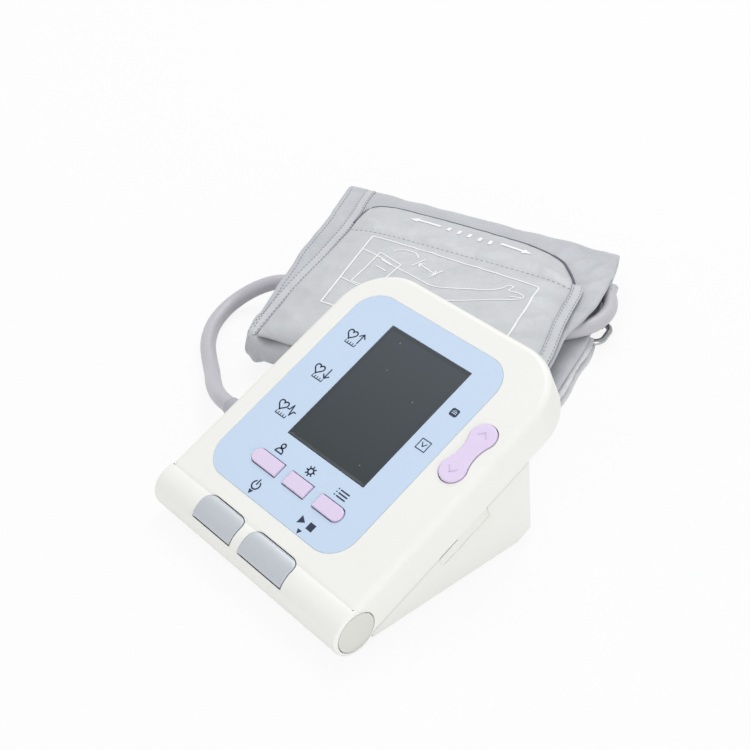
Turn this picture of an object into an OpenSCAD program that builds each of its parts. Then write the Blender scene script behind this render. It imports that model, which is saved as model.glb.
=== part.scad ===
// Desktop upper-arm blood pressure monitor with its wrap cuff and air hose.
// A wedge-shaped white case with a sloping panel and a round roll along its front edge.
// X runs to the user's right, Y to the back, Z up. The origin is on the table, under the middle of the case.

/* [Case] */
// Width of the case
case_w = 112; // [108:1:120]
// Slope of the panel
tilt = 24.8; // [22:0.2:27]
// Length of the panel from the roll to its top edge, along the slope
panel_len = 120; // [118:1:126]
// Thickness of the sloping slab, square to the panel
slab_t = 17.2; // [16.6:0.2:19]
// Wall of both shells
wall = 2.2; // [1.8:0.1:2.6]
// Radius of the slab's two top corners
corner_r = 24; // [16:1:28]
// Rounding of the panel's edge
edge_r = 3; // [1.5:0.5:4]
// Open joint line between the cover and the housing
joint_gap = 0.3; // [0.2:0.05:0.5]
// How far the base's side walls stand in from the slab's sides
base_inset = 1.7; // [1:0.1:2]

/* [Front roll] */
// Radius of the roll
roll_r = 10.2; // [10:0.1:10.8]
// Radius of the round plugs in the roll's ends
plug_r = 8.3; // [8.2:0.1:8.6]
// Travel of the two roll buttons
roll_travel = 0.7; // [0.4:0.1:0.9]
// Width of the power button
power_w = 23; // [18:1:26]
// Width of the start button
start_w = 25.5; // [20:0.5:28]

/* [Panel] */
// Width of the printed overlay
overlay_w = 81; // [72:1:84]
// Height of the printed overlay, along the slope
overlay_h = 100.8; // [96:0.4:104]
// Thickness of the printed overlay
overlay_t = 0.4; // [0.3:0.1:0.6]
// Width of the display window
window_w = 44.6; // [40:0.2:46]
// Height of the display window, along the slope
window_h = 61.2; // [58:0.2:62]
// Thickness of the display window
window_t = 1.2; // [0.8:0.1:1.4]
// Height of the keys' openings, along the slope
key_h = 6.4; // [5:0.2:7]
// How far the keys stand proud of the overlay
key_proud = 1.1; // [0.8:0.1:1.6]
// Travel of the three keys
key_travel = 0.6; // [0.3:0.1:0.7]
// Gap round every key and button
key_gap = 0.35; // [0.25:0.05:0.4]
// Radius of the rocker's two lobes
lobe_r = 5.5; // [4.5:0.1:5.8]
// Distance between the rocker's two lobes
lobe_pitch = 17; // [14:0.5:18]
// Width of the rocker's waist
waist_w = 7.4; // [5:0.2:8]

/* [Power] */
// Diameter of a battery cell
cell_d = 14.4; // [14:0.1:14.6]
// Length of a battery cell
cell_len = 50; // [48:0.5:51]
// Number of battery cells
cell_count = 4;
// Thickness of the battery door
door_t = 1.8; // [1.4:0.1:2]
// Travel of the battery door
door_travel = 6; // [4:0.5:7]

/* [Air system] */
// Outer diameter of the air hose
hose_d = 7.4; // [6.6:0.2:7.6]
// Radius of the pump motor
motor_r = 9.6; // [8:0.2:10]
// Length of the pump motor
motor_len = 26; // [20:1:28]

/* [Cuff] */
// How far the cuff is turned from the case
cuff_turn = 19.4; // [19.2:0.1:19.6]
// Depth of the flattened cuff, from fold to fold
cuff_depth = 162; // [156:1:166]
// Height of the band's loop, from its lower to its upper face
band_h = 13.9; // [13.5:0.1:14.6]
// Thickness of the band
band_t = 2.6; // [2.2:0.1:2.8]
// Height of the padded pocket over the band
pocket_h = 7; // [5.4:0.2:8.4]
// Thickness of the pocket's cloth
cloth_t = 1.1; // [0.8:0.1:1.3]
// Width of the edge tape
tape_w = 3; // [2.4:0.2:3.4]
// Thickness of the metal ring's wire
ring_wire = 3; // [2.4:0.2:3.2]

/* [Hidden] */
$fn = 48;
hull_fn = 32;

// The table is z = 0. The case stands on its feet, a little above it.
foot_h = 0.6;
crease_y = -48.9;
crease_z = 21;
roll_y = crease_y - 0.8;
roll_z = foot_h + roll_r - 0.3;
roll_wall = 2;
push_angle = 30;
power_x = -18.5;
start_x = 11.2;
button_board_x = [-case_w / 2 + 10, start_x + start_w / 2 + 10];
button_switch_top = 4.2;
fit = 0.3;

// The panel: heights over the table, and places along its slope.
function panel_z(y) = foot_h + crease_z + (y - crease_y) * tan(tilt);
function slope_y(s, up) = crease_y + s * cos(tilt) - up * sin(tilt);
function slope_z(s, up) = foot_h + crease_z + s * sin(tilt) + up * cos(tilt);

// Overlay, window and keys, from the panel's middle line and its lower edge.
overlay_x = -5;
overlay_s = 7;
overlay_r = 12;
window_x = -1.2;
window_s = 36.5;
key_s = 22.2;
left_key_x = -21;
left_key_w = 16.6;
middle_key_x = -2;
middle_key_w = 12.8;
right_key_x = 16.7;
right_key_w = 14.4;
rocker_x = case_w / 2 - 11;
rocker_s = 70.2;
rocker_pin_r = 0.9;
rocker_pin_up = -3.2;
rocker_stem = 6.4;

// The main board hangs under the panel on four posts.
board_up = -10.4;
board_t = 1.6;
board_x = 1.5;
board_w = case_w - 14;
board_s = 12;
board_h = panel_len - board_s - 12;
board_room = 1;
post_r = 2.5;
post_inset = 5;
post_x = board_w / 2 - 9;
post_s = [board_s + post_inset, board_s + board_h - post_inset];
board_top = board_up + board_t;
board_screw_r = 0.9;
switch_h = 4.3;
switch_w = 6;
stem_gap = key_travel + 0.2;
flange_top = -wall - fit;
flange_h = 0.8;

// The base under the slab.
base_hw = case_w / 2 - base_inset;
base_front = -40.6;
base_back = 43.2;
base_back_top = 38.6;
base_chamfer_y = 36.1;
base_chamfer_z = 4.2;
base_top = 42;
floor_top = foot_h + wall;

// Battery tray: a row of cells across the case, over the door.
cell_pitch = cell_d + 0.3;
tray_wall = 2;
tray_hw = cell_len / 2 + 4;
tray_back = 36;
tray_len = cell_count * cell_pitch + 0.6;
tray_front = tray_back - tray_len;
tray_roof = floor_top + cell_d + 1;
tray_roof_t = 1.2;
cell_z = floor_top + cell_d / 2 + 0.4;
door_lip = 1.5;
door_gap = 0.3;

// Case screws: short posts in the front, tall posts at the back.
screw_x = base_hw - 6.4;
screw_y = [-33, 31];
screw_seat = [3.4, 15];
screw_split = [5.6, 19];
screw_post_r = 3.4;
screw_head_r = 2.4;
screw_head_h = 1.6;
screw_r = 1.2;
screw_len = 9;
foot_r = 4;
foot_x = 38.5;
foot_y = [-24, 22];
foot_seat = 1.4;

// Side recess and its port in the right wall.
recess_s = [36, 63];
recess_h = 8.3;
recess_d = 2;
port_s = 41.5;
port_w = 10;
port_h = 4;
port_d = 9;
port_up = -slab_t - 0.8 - port_h / 2;

// Air path.
socket_y = -6;
socket_z = 15.5;
socket_r = 5.8;
socket_bore = 2.6;
plug_len = 19;
motor_y = 26;
motor_z = tray_roof + tray_roof_t + motor_r + 1;
motor_x = 6;
head_len = 14;
valve_y = 15;
tray_flange = 2.5;
manifold_x = -(tray_hw + tray_wall + tray_flange + base_hw - wall) / 2;
valve_size = [12, 17, 12];
manifold_size = [7.6, 12];
barb_z = floor_top + 7;
manifold_y = socket_y - 3;
manifold_top = socket_z + 4;
tube_r = 1.9;
sensor_x = board_x - post_x + 4.5;
sensor_s = 48;
sensor_up = board_up - 8;

// Cuff: its own frame has w along the arm and v from the near fold to the far fold.
cuff_x = -95;
cuff_y = 120;
near_v = -83;
cuff_left_reach = 65;
cuff_right_reach = 90;
far_v = near_v + cuff_depth;
layer_gap = 0.3;
layer_h = 5.4;
hook_t = 0.6;
band_z = layer_h + hook_t + 0.1;
band_top_z = band_z + band_h;
near_r = (band_top_z - band_z) / 2;
far_r = 4.4;
band_rows = 10;
pocket_near = -80;
pocket_far = 46;
bladder_inset = 9;
bladder_room = 0.3;
pocket_z = band_top_z + layer_gap;
seam_v = 25;
hose_z = 13;
ring_bars = [13, 31];
ring_z = layer_h / 2 + 0.3;
loop_r = layer_h / 2;
port_reach = 12;
port_turn = 40;
hose_end = [39.7, 47];

function cuff_left(v) = -cuff_left_reach - 0.22 * v;
function cuff_right(v) = cuff_right_reach - 0.05 * v - 0.11 * max(v, 0);
function cuff_point(w, v, z) = [
    cuff_x + w * cos(cuff_turn) - v * sin(cuff_turn),
    cuff_y + w * sin(cuff_turn) + v * cos(cuff_turn), z];

// The hose's route, from the plug along the table, through the cuff and round to the bladder's port.
hose_route = [[-76, -6, 15.5], [-84, -5, 14.6], [-93, -1.5, 12], [-103, 4, 8.6], [-114, 11, 5.4],
    [-126, 18, 4.1], [-137, 25.5, 3.9], [-147, 36, 3.9], [-153.5, 48, 4.4], [-154.5, 58, 6.6],
    [-151.5, 66.5, 10], [-146, 74.5, 12.6], [-138, 81.5, 13], [-128, 87, 13], [-116, 91.5, 13],
    [-104, 95, 13], [-90, 98, 13], [-77, 103, 13], [-64, 110, 13], [-51, 119, 13], [-38, 129, 13],
    [-26.5, 139, 13], [-19, 151, 13], [-16.5, 164, 13], [-20, 177, 13], [-29, 187, 13],
    [-41.5, 192, 13], [-55, 191, 13], [-65.5, 185.5, 13], [-73.2, 177.5, 13]];

// Sweeps a round tube of radius r along points. Every ring stands square to the path.
function unit(a) = a / norm(a);
function heading(path, i) = unit(path[min(i + 1, len(path) - 1)] - path[max(i - 1, 0)]);
function across(dir) = unit(cross([0, 0, 1], dir));
function ring(at, dir, r, sides) = [for (k = [0 : sides - 1])
    at + r * (cos(360 * k / sides) * across(dir) + sin(360 * k / sides) * cross(dir, across(dir)))];
// A smooth curve through hand-set points, each stretch cut in equal steps.
function bend(a, b, c, d, t) = 0.5 * (2 * b + (c - a) * t + (2 * a - 5 * b + 4 * c - d) * t * t
    + (3 * b - 3 * c + d - a) * t * t * t);
function full_path(p, steps) = let (n = len(p)) [
    for (i = [0 : n - 2]) for (j = [0 : steps - 1])
        bend(p[max(i - 1, 0)], p[i], p[i + 1], p[min(i + 2, n - 1)], j / steps),
    p[n - 1]];
function path_length(p) = len(p) < 2 ? 0 : [for (i = [1 : len(p) - 1]) norm(p[i] - p[i - 1])]
    * [for (i = [1 : len(p) - 1]) 1];

module tube(path, r, sides = 10) {
    rings = [for (i = [0 : len(path) - 1]) ring(path[i], heading(path, i), r, sides)];
    points = [for (one = rings) each one];
    last = (len(path) - 1) * sides;
    walls = [for (i = [0 : len(path) - 2]) for (k = [0 : sides - 1]) let (a = i * sides, b = a + sides,
        n = (k + 1) % sides) each [[a + k, b + k, b + n], [a + k, b + n, a + n]]];
    caps = [[for (k = [0 : sides - 1]) k], [for (k = [sides - 1 : -1 : 0]) last + k]];
    polyhedron(points, concat(walls, caps));
}

// Puts its children on the panel: x across, y up the slope, z out of the panel.
module on_panel() {
    translate([0, crease_y, foot_h + crease_z]) rotate([tilt, 0, 0]) children();
}

// Puts its children in the roll: z points out along the buttons' push line.
module in_roll(x = 0) {
    translate([x, roll_y, roll_z]) rotate([push_angle, 0, 0]) children();
}

module along_x(len) {
    rotate([90, 0, 90]) linear_extrude(len, center = true) children();
}

module rounded(w, h, r) {
    for (x = [-1, 1]) for (y = [-1, 1]) translate([x * (w / 2 - r), y * (h / 2 - r)]) circle(r);
    square([w - 2 * r, h], center = true);
    square([w, h - 2 * r], center = true);
}

// One corner of the slab: a short post with a rounded upper edge.
module slab_corner(r, depth, round_r) {
    arc = [for (a = [0 : 15 : 90]) [r - round_r + round_r * cos(a), round_r * sin(a) - round_r]];
    rotate_extrude($fn = hull_fn) polygon(concat([[0, -depth], [r, -depth]], arc, [[0, 0]]));
}

// The slab's outer form.
module slab() {
    near = edge_r + 0.4;
    on_panel() hull() for (x = [-1, 1]) {
        translate([x * (case_w / 2 - corner_r), panel_len - corner_r, 0])
            slab_corner(corner_r, slab_t, edge_r);
        translate([x * (case_w / 2 - near), near - 3, 0]) slab_corner(near, slab_t, edge_r);
    }
}

// The slab's outline drawn in by inset, from a place along the slope up to its top edge.
module slab_outline(inset, front) {
    hw = case_w / 2 - inset;
    r = corner_r - inset;
    translate([-hw, front]) square([2 * hw, panel_len - corner_r - front]);
    translate([-hw + r, front]) square([2 * hw - 2 * r, panel_len - inset - front]);
    for (x = [-1, 1]) translate([x * (hw - r), panel_len - corner_r]) circle(r);
}

module roll_bar(r, len) {
    translate([0, roll_y, roll_z]) rotate([0, 90, 0]) cylinder(r = r, h = len, center = true);
}

// A roll button's outline: square at the front, rounded toward the panel.
module button_outline(w, grow = 0) {
    reach = roll_r * sin(34) + grow;
    r = 4 + grow;
    translate([-w / 2 - grow, -reach]) square([w + 2 * grow, 2 * reach - r]);
    translate([-w / 2 - grow + r, -reach]) square([w + 2 * grow - 2 * r, 2 * reach]);
    for (x = [-1, 1]) translate([x * (w / 2 + grow - r), reach - r]) circle(r);
}

// A key's outline, with a round end on one side, both or neither.
module key_outline(w, grow = 0, round_left = false, round_right = false) {
    h = key_h + 2 * grow;
    left = round_left ? h / 2 : 0;
    right = round_right ? h / 2 : 0;
    translate([-w / 2 - grow + left, -h / 2]) square([w + 2 * grow - left - right, h]);
    if (round_left) translate([-w / 2 - grow + left, 0]) circle(left);
    if (round_right) translate([w / 2 + grow - right, 0]) circle(right);
}

module rocker_outline(grow = 0) {
    for (y = [-1, 1]) translate([0, y * lobe_pitch / 2]) circle(lobe_r + grow);
    square([waist_w + 2 * grow, lobe_pitch], center = true);
}

module key_places(grow) {
    translate([left_key_x, key_s]) key_outline(left_key_w, grow, round_left = true);
    translate([middle_key_x, key_s]) key_outline(middle_key_w, grow);
    translate([right_key_x, key_s]) key_outline(right_key_w, grow, round_right = true);
}

module window_place(grow) {
    translate([window_x, window_s + window_h / 2])
        square([window_w + 2 * grow, window_h + 2 * grow], center = true);
}

module overlay_place(grow) {
    translate([overlay_x, overlay_s + overlay_h / 2])
        rounded(overlay_w + 2 * grow, overlay_h + 2 * grow, overlay_r + grow);
}

module screw_places() {
    for (x = [-1, 1]) for (i = [0, 1]) translate([x * screw_x, screw_y[i], 0]) {
        $row = i;
        children();
    }
}

module foot_places() {
    for (x = [-1, 1]) for (y = foot_y) translate([x * foot_x, y, 0]) children();
}

module front_cover() {
    color("#f1efe8") difference() {
        union() {
            difference() {
                union() {
                    slab();
                    roll_bar(roll_r, case_w);
                }
                on_panel() translate([0, 0, -slab_t - 3]) linear_extrude(slab_t + 3 - wall)
                    slab_outline(wall, 1.6);
            }
            on_panel() for (x = [-1, 1]) for (s = post_s)
                translate([board_x + x * post_x, s, board_top]) cylinder(r = post_r, h = -board_top - 1);
            on_panel() for (side = [-1, 1])
                translate([rocker_x + side * (waist_w / 2 + 1.9) - 0.7, rocker_s - 2, rocker_pin_up - 1.6])
                cube([1.4, 4, 3.8]);
            screw_places() translate([0, 0, screw_split[$row] + fit])
                cylinder(r = screw_post_r, h = panel_z(screw_y[$row]) - 1.8 - screw_split[$row] - fit);
        }
        roll_bar(roll_r - roll_wall, case_w + 1);
        for (x = [-1, 1]) translate([x * (case_w / 2 - 1), roll_y, roll_z])
            rotate([0, 90, 0]) cylinder(r = plug_r + fit, h = 2.1, center = true);
        in_roll(power_x) linear_extrude(roll_r + 2) button_outline(power_w, key_gap);
        in_roll(start_x) linear_extrude(roll_r + 2) button_outline(start_w, key_gap);
        on_panel() {
            translate([-20, -4, -12]) cube([40, 8, 7]);
            translate([0, 0, -overlay_t]) linear_extrude(overlay_t + 1) overlay_place(0.15);
            translate([0, 0, -wall - 4]) linear_extrude(wall + 5) {
                key_places(key_gap);
                window_place(0.2);
                translate([rocker_x, rocker_s]) rocker_outline(key_gap);
            }
            for (x = [-1, 1]) for (s = post_s)
                translate([board_x + x * post_x, s, board_top - 1]) cylinder(r = board_screw_r + 0.08, h = 6);
            translate([rocker_x, rocker_s, rocker_pin_up]) rotate([0, 90, 0])
                cylinder(r = rocker_pin_r + 0.08, h = 20, center = true);
        }
        screw_places() cylinder(r = screw_r + 0.08, h = screw_seat[$row] + screw_len + 1);
    }
}

module base_profile(inset) {
    polygon([[base_front + inset, foot_h + inset], [base_chamfer_y - inset / 2, foot_h + inset],
        [base_back - inset, base_chamfer_z + inset / 2], [base_back_top - inset, base_top],
        [base_back_top - inset, base_top + 8], [base_front + inset, base_top + 8]]);
}

module slab_shadow(drop) {
    on_panel() translate([-case_w, -30, -slab_t - drop]) cube([2 * case_w, 2 * panel_len, 2 * panel_len]);
}

module rear_housing() {
    color("#eeece5") difference() {
        union() {
            difference() {
                union() {
                    difference() {
                        along_x(2 * base_hw) base_profile(0);
                        slab_shadow(joint_gap);
                    }
                    on_panel() translate([0, 0, -slab_t - joint_gap]) linear_extrude(wall + joint_gap)
                        slab_outline(wall + fit, 2.4);
                }
                along_x(2 * base_hw - 2 * wall) base_profile(wall);
            }
            tray_block();
            screw_places() translate([0, 0, foot_h])
                cylinder(r = screw_post_r, h = screw_split[$row] - foot_h);
            recess_backing();
        }
        tray_hollow();
        screw_places() {
            translate([0, 0, -1]) cylinder(r = screw_head_r + fit, h = screw_seat[$row] + 1);
            cylinder(r = screw_r + fit, h = screw_split[$row] + 1);
        }
        foot_places() translate([0, 0, -1]) cylinder(r = foot_r + 0.1, h = 1 + foot_seat + foot_h);
        side_recess();
        translate([-base_hw, socket_y, socket_z]) rotate([0, 90, 0])
            cylinder(r = socket_r - 1.4, h = 10, center = true);
    }
}

module tray_block() {
    translate([-tray_hw - tray_wall, tray_front - tray_wall, foot_h])
        cube([2 * tray_hw + 2 * tray_wall, tray_len + 2 * tray_wall, tray_roof + tray_roof_t - foot_h]);
    translate([-tray_hw - tray_wall - tray_flange, tray_front - tray_wall, foot_h + 0.4])
        cube([2 * (tray_hw + tray_wall + tray_flange), tray_len + tray_wall, 3.2]);
    for (x = [motor_x - 10, motor_x + 10]) translate([x - 1, motor_y - 8, tray_roof])
        difference() {
            cube([2, 16, 8]);
            translate([-1, 8, motor_z - tray_roof]) rotate([0, 90, 0]) cylinder(r = motor_r + 0.2, h = 4);
        }
}

// The cells' space, the door's seat and the grooves for the door's side tongues.
module tray_hollow() {
    translate([-tray_hw, tray_front, -1]) cube([2 * tray_hw, tray_len, tray_roof + 1]);
    seat_hw = tray_hw + door_lip + door_gap;
    front = tray_front - door_lip - door_gap;
    seat_len = base_back + 1 - front;
    translate([-seat_hw, front, -1]) cube([2 * seat_hw, seat_len, foot_h + door_t + 1.1]);
    translate([-seat_hw - 1.2, front, foot_h + door_t - 1.1]) cube([2 * seat_hw + 2.4, seat_len, 1.2]);
}

module side_recess() {
    low = -slab_t - recess_h;
    high = -slab_t - joint_gap;
    on_panel() translate([0, recess_s[1], 0]) rotate([90, 0, 0]) linear_extrude(recess_s[1] - recess_s[0])
        polygon([[base_hw, low], [base_hw + 3, low], [base_hw + 3, high], [base_hw - recess_d, high]]);
    on_panel() translate([base_hw - port_d, port_s - port_w / 2, port_up - port_h / 2])
        cube([port_d + 1, port_w, port_h]);
}

module recess_backing() {
    on_panel() {
        translate([base_hw - port_d - 1.2, port_s - port_w / 2 - 1.2, port_up - port_h / 2 - 1.2])
            cube([port_d, port_w + 2.4, port_h + 1.2]);
        translate([base_hw - recess_d - 1.6, recess_s[0] - 1.4, -slab_t - recess_h])
            cube([recess_d + 0.8, recess_s[1] - recess_s[0] + 2.8, recess_h - joint_gap]);
    }
}

module roll_plug() {
    color("#dcdad2") {
        translate([0, 0, -2]) cylinder(r = plug_r, h = 1.6);
        translate([0, 0, -0.4]) cylinder(r1 = plug_r, r2 = plug_r - 0.4, h = 0.4, $fn = 64);
        translate([0, 0, -6]) difference() {
            cylinder(r = roll_r - roll_wall - 0.2, h = 4.5);
            translate([0, 0, -1]) cylinder(r = roll_r - roll_wall - 1.6, h = 5);
        }
    }
}

module left_roll_plug() {
    translate([-case_w / 2, roll_y, roll_z]) rotate([0, -90, 0]) roll_plug();
}

module right_roll_plug() {
    translate([case_w / 2, roll_y, roll_z]) rotate([0, 90, 0]) roll_plug();
}

module panel_overlay() {
    color("#c7d9f0") on_panel() translate([0, 0, -overlay_t]) linear_extrude(overlay_t) difference() {
        overlay_place(0);
        key_places(key_gap);
        window_place(0.2);
    }
}

module display_window() {
    color("#3a4044") on_panel() translate([0, 0, -window_t]) linear_extrude(window_t - 0.1) window_place(0);
}

module display_glass() {
    color("#5f6a66") on_panel() translate([window_x, window_s + window_h / 2, -wall - 3])
        linear_extrude(2) square([window_w - 3, window_h - 3], center = true);
}

module display_holder() {
    outer_w = window_w + 6;
    outer_h = window_h + 6;
    color("#f4f4f4") on_panel() translate([window_x, window_s + window_h / 2, 0]) difference() {
        translate([0, 0, board_top]) linear_extrude(-board_top - wall)
            square([outer_w, outer_h], center = true);
        translate([0, 0, board_top - 1]) linear_extrude(12)
            square([window_w - 2.6, window_h - 12], center = true);
        translate([0, 0, -wall - 3.1]) linear_extrude(8)
            square([window_w - 2.6, window_h - 2.6], center = true);
        for (y = [-1, 1]) translate([0, y * (window_h / 2 - 3.5), board_top - 1])
            linear_extrude(12) square([window_w - 7, 2.6], center = true);
    }
}

module contact_strips() {
    color("#b65a4a") on_panel() for (y = [-1, 1])
        translate([window_x, window_s + window_h / 2 + y * (window_h / 2 - 3.5), board_top])
            linear_extrude(-wall - 3 - board_top) square([window_w - 8, 2], center = true);
}

// A key: its cap stands through the panel, a flange keeps it in, a stem meets its switch.
module key_body(proud, stem_xs) {
    translate([0, 0, flange_top - 0.4]) linear_extrude(proud - flange_top + 0.4) children(0);
    translate([0, 0, flange_top - flange_h]) linear_extrude(flange_h) children(1);
    for (at = stem_xs) translate([at.x, at.y, board_top + switch_h + stem_gap])
        cylinder(r = 1.5, h = flange_top - board_top - switch_h - stem_gap);
}

module left_key() {
    color("#e6d3ea") on_panel() translate([left_key_x, key_s, 0]) key_body(key_proud, [[0, 0]]) {
        key_outline(left_key_w, 0, round_left = true);
        key_outline(left_key_w, 1, round_left = true);
    }
}

module middle_key() {
    color("#e6d3ea") on_panel() translate([middle_key_x, key_s, 0]) key_body(key_proud, [[0, 0]]) {
        key_outline(middle_key_w);
        key_outline(middle_key_w, 1);
    }
}

module right_key() {
    color("#e6d3ea") on_panel() translate([right_key_x, key_s, 0]) key_body(key_proud, [[0, 0]]) {
        key_outline(right_key_w, 0, round_right = true);
        key_outline(right_key_w, 1, round_right = true);
    }
}

module rocker_key() {
    pin_len = waist_w + 5.2;
    color("#dccbe8") on_panel() translate([rocker_x, rocker_s, 0]) {
        translate([0, 0, -1.6]) linear_extrude(1.6 + key_proud) rocker_outline();
        translate([-waist_w / 2 + 0.8, -1.6, rocker_pin_up - 0.6]) cube([waist_w - 1.6, 3.2, 3]);
        for (y = [-1, 1]) translate([0, y * rocker_stem, -2.5]) cylinder(r = 1.5, h = 2);
        translate([0, 0, rocker_pin_up]) rotate([0, 90, 0])
            cylinder(r = rocker_pin_r, h = pin_len, center = true);
    }
}

// A roll button: a curved cap in the roll's surface, with an inner flange and a stem.
module roll_button(w) {
    color("#a9adb3") {
        intersection() {
            translate([0, 0, 2]) linear_extrude(roll_r) button_outline(w);
            difference() {
                rotate([0, 90, 0]) cylinder(r = roll_r + 0.3, h = w + 10, center = true);
                rotate([0, 90, 0]) cylinder(r = roll_r - roll_wall - 1.6, h = w + 11, center = true);
            }
        }
        intersection() {
            translate([0, 0, 2.2]) linear_extrude(roll_r) button_outline(w, 0.9);
            difference() {
                rotate([0, 90, 0]) cylinder(r = roll_r - roll_wall - fit, h = w + 10, center = true);
                rotate([0, 90, 0]) cylinder(r = roll_r - roll_wall - 1.6, h = w + 11, center = true);
            }
        }
        translate([0, 0, button_switch_top + roll_travel + 0.1])
            cylinder(r = 1.6, h = roll_r - roll_wall - button_switch_top - roll_travel - 0.4);
    }
}

module power_button() {
    in_roll(power_x) roll_button(power_w);
}

module start_button() {
    in_roll(start_x) roll_button(start_w);
}

module main_board() {
    color("#2f7d4f") on_panel() difference() {
        translate([0, 0, board_up]) linear_extrude(board_t) intersection() {
            translate([board_x - board_w / 2, board_s]) square([board_w, board_h]);
            slab_outline(wall + board_room, 0);
        }
        for (x = [-1, 1]) for (s = post_s)
            translate([board_x + x * post_x, s, board_up - 1]) cylinder(r = 1.3, h = board_t + 2);
        for (x = [-1, 1]) for (y = screw_y)
            translate([x * (screw_x + 1), (y - crease_y + board_up * sin(tilt)) / cos(tilt), board_up - 1])
            linear_extrude(board_t + 2) square([12, 14], center = true);
    }
}

module board_chips() {
    color("#1d1d20") on_panel() {
        translate([-14, 54, board_up - 1.6]) cube([14, 14, 1.6]);
        translate([16, 50, board_up - 1.4]) cube([8, 10, 1.4]);
        translate([-34, 60, board_up - 1.2]) cube([6, 5, 1.2]);
    }
}

module switch(plunger_h) {
    translate([-switch_w / 2, -switch_w / 2, 0]) cube([switch_w, switch_w, plunger_h - 1]);
    cylinder(r = 1.7, h = plunger_h);
}

module key_switches() {
    color("#2b2b2e") on_panel() {
        for (x = [left_key_x, middle_key_x, right_key_x])
            translate([x, key_s, board_top]) switch(switch_h);
        for (y = [-1, 1])
            translate([rocker_x, rocker_s + y * rocker_stem, board_top]) switch(switch_h + 1.3);
    }
}

module buzzer() {
    color("#151515") on_panel() translate([board_x - post_x, post_s[1] - 11, board_top]) difference() {
        cylinder(r = 6, h = 5.2);
        translate([0, 0, 3]) cylinder(r = 1, h = 4);
    }
}

module pressure_sensor() {
    color("#33363a") on_panel() {
        translate([sensor_x - 4, sensor_s - 4, board_up - 5]) cube([8, 8, 5]);
        translate([sensor_x, sensor_s, sensor_up]) cylinder(r = 1.4, h = 4);
    }
}

module board_screws() {
    color("#c9c9c9") on_panel() for (x = [-1, 1]) for (s = post_s)
        translate([board_x + x * post_x, s, board_up]) {
            translate([0, 0, -1.3]) cylinder(r = 2, h = 1.3);
            cylinder(r = board_screw_r, h = 6);
        }
}

module button_board() {
    color("#2f7d4f") in_roll() difference() {
        translate([button_board_x[0], -7.7, -0.6]) cube([button_board_x[1] - button_board_x[0], 15.4, 1.2]);
        for (x = [button_board_x[0] + 4, button_board_x[1] - 4]) translate([x, 0, -2]) cylinder(r = 1.2, h = 4);
    }
}

module button_switches() {
    color("#2b2b2e") for (x = [power_x, start_x]) in_roll(x)
        translate([0, 0, 0.6]) switch(button_switch_top - 0.6);
}

module pump_motor() {
    color("#b9bcc0") translate([motor_x, motor_y, motor_z]) rotate([0, 90, 0]) {
        cylinder(r = motor_r, h = motor_len, center = true);
        cylinder(r = 2.2, h = motor_len + 3, center = true);
    }
}

module pump_head() {
    start = motor_x - motor_len / 2;
    color("#e9e9e4") translate([start - head_len, motor_y - 8.5, motor_z - 8.5]) difference() {
        cube([head_len, 17, 17]);
        translate([head_len - 2, 8.5, 8.5]) rotate([0, 90, 0]) cylinder(r = 2.4, h = 3);
    }
    color("#e9e9e4") translate([start - head_len, motor_y, motor_z]) rotate([0, -90, 0])
        cylinder(r = 1.5, h = 5);
}

module release_valve() {
    color("#8d9094") translate([manifold_x, valve_y, floor_top]) {
        translate([-valve_size.x / 2, -7, 0]) cube(valve_size);
        translate([0, -7, barb_z - floor_top]) rotate([90, 0, 0]) cylinder(r = 1.5, h = 4);
    }
}

module air_manifold() {
    color("#e4e2da") {
        translate([manifold_x - manifold_size.x / 2, manifold_y - manifold_size.y / 2, floor_top])
            cube([manifold_size.x, manifold_size.y, manifold_top - floor_top]);
        translate([manifold_x, manifold_y + 6, socket_z]) rotate([-90, 0, 0]) cylinder(r = 1.5, h = 3);
        translate([manifold_x, manifold_y + 6, barb_z]) rotate([-90, 0, 0]) cylinder(r = 1.5, h = 3);
        translate([manifold_x, manifold_y, manifold_top - 1]) cylinder(r = 1.4, h = 4);
    }
}

module air_tubes() {
    start = motor_x - motor_len / 2 - head_len - 5.2;
    barb_y = manifold_y + 9.2;
    nozzle = [sensor_x, slope_y(sensor_s, sensor_up), slope_z(sensor_s, sensor_up) - 0.2];
    color("#d8d4c8") {
        tube(full_path([[start, motor_y, motor_z], [start - 4, motor_y, motor_z],
            [manifold_x + 2, motor_y - 6, motor_z - 3], [manifold_x, motor_y - 15, socket_z + 6.5],
            [manifold_x, barb_y + 6, socket_z + 1.6], [manifold_x, barb_y, socket_z]], 4), tube_r, 8);
        tube([[manifold_x, barb_y, barb_z], [manifold_x, valve_y - 11.2, barb_z]], tube_r, 8);
        tube(full_path([[manifold_x, manifold_y, manifold_top + 3.2],
            [manifold_x + 1, manifold_y + 2.5, manifold_top + 4.4],
            [manifold_x + 4, manifold_y + 8, manifold_top + 3.6],
            [nozzle.x - 1.5, nozzle.y - 1.5, nozzle.z - 2.6], nozzle], 4), tube_r * 0.9, 8);
    }
}

module air_socket() {
    manifold_face = base_hw + manifold_x - manifold_size.x / 2;
    color("#dcdad2") translate([-base_hw, socket_y, socket_z]) rotate([0, 90, 0]) difference() {
        union() {
            translate([0, 0, -1]) cylinder(r = socket_r, h = 1);
            translate([0, 0, -0.5]) cylinder(r = socket_r - 1.5, h = wall + 3);
            translate([0, 0, wall + 1]) cylinder(r = 2, h = manifold_face - wall - 1);
        }
        translate([0, 0, -2]) cylinder(r = socket_bore + 0.4, h = wall + 3);
    }
}

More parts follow.
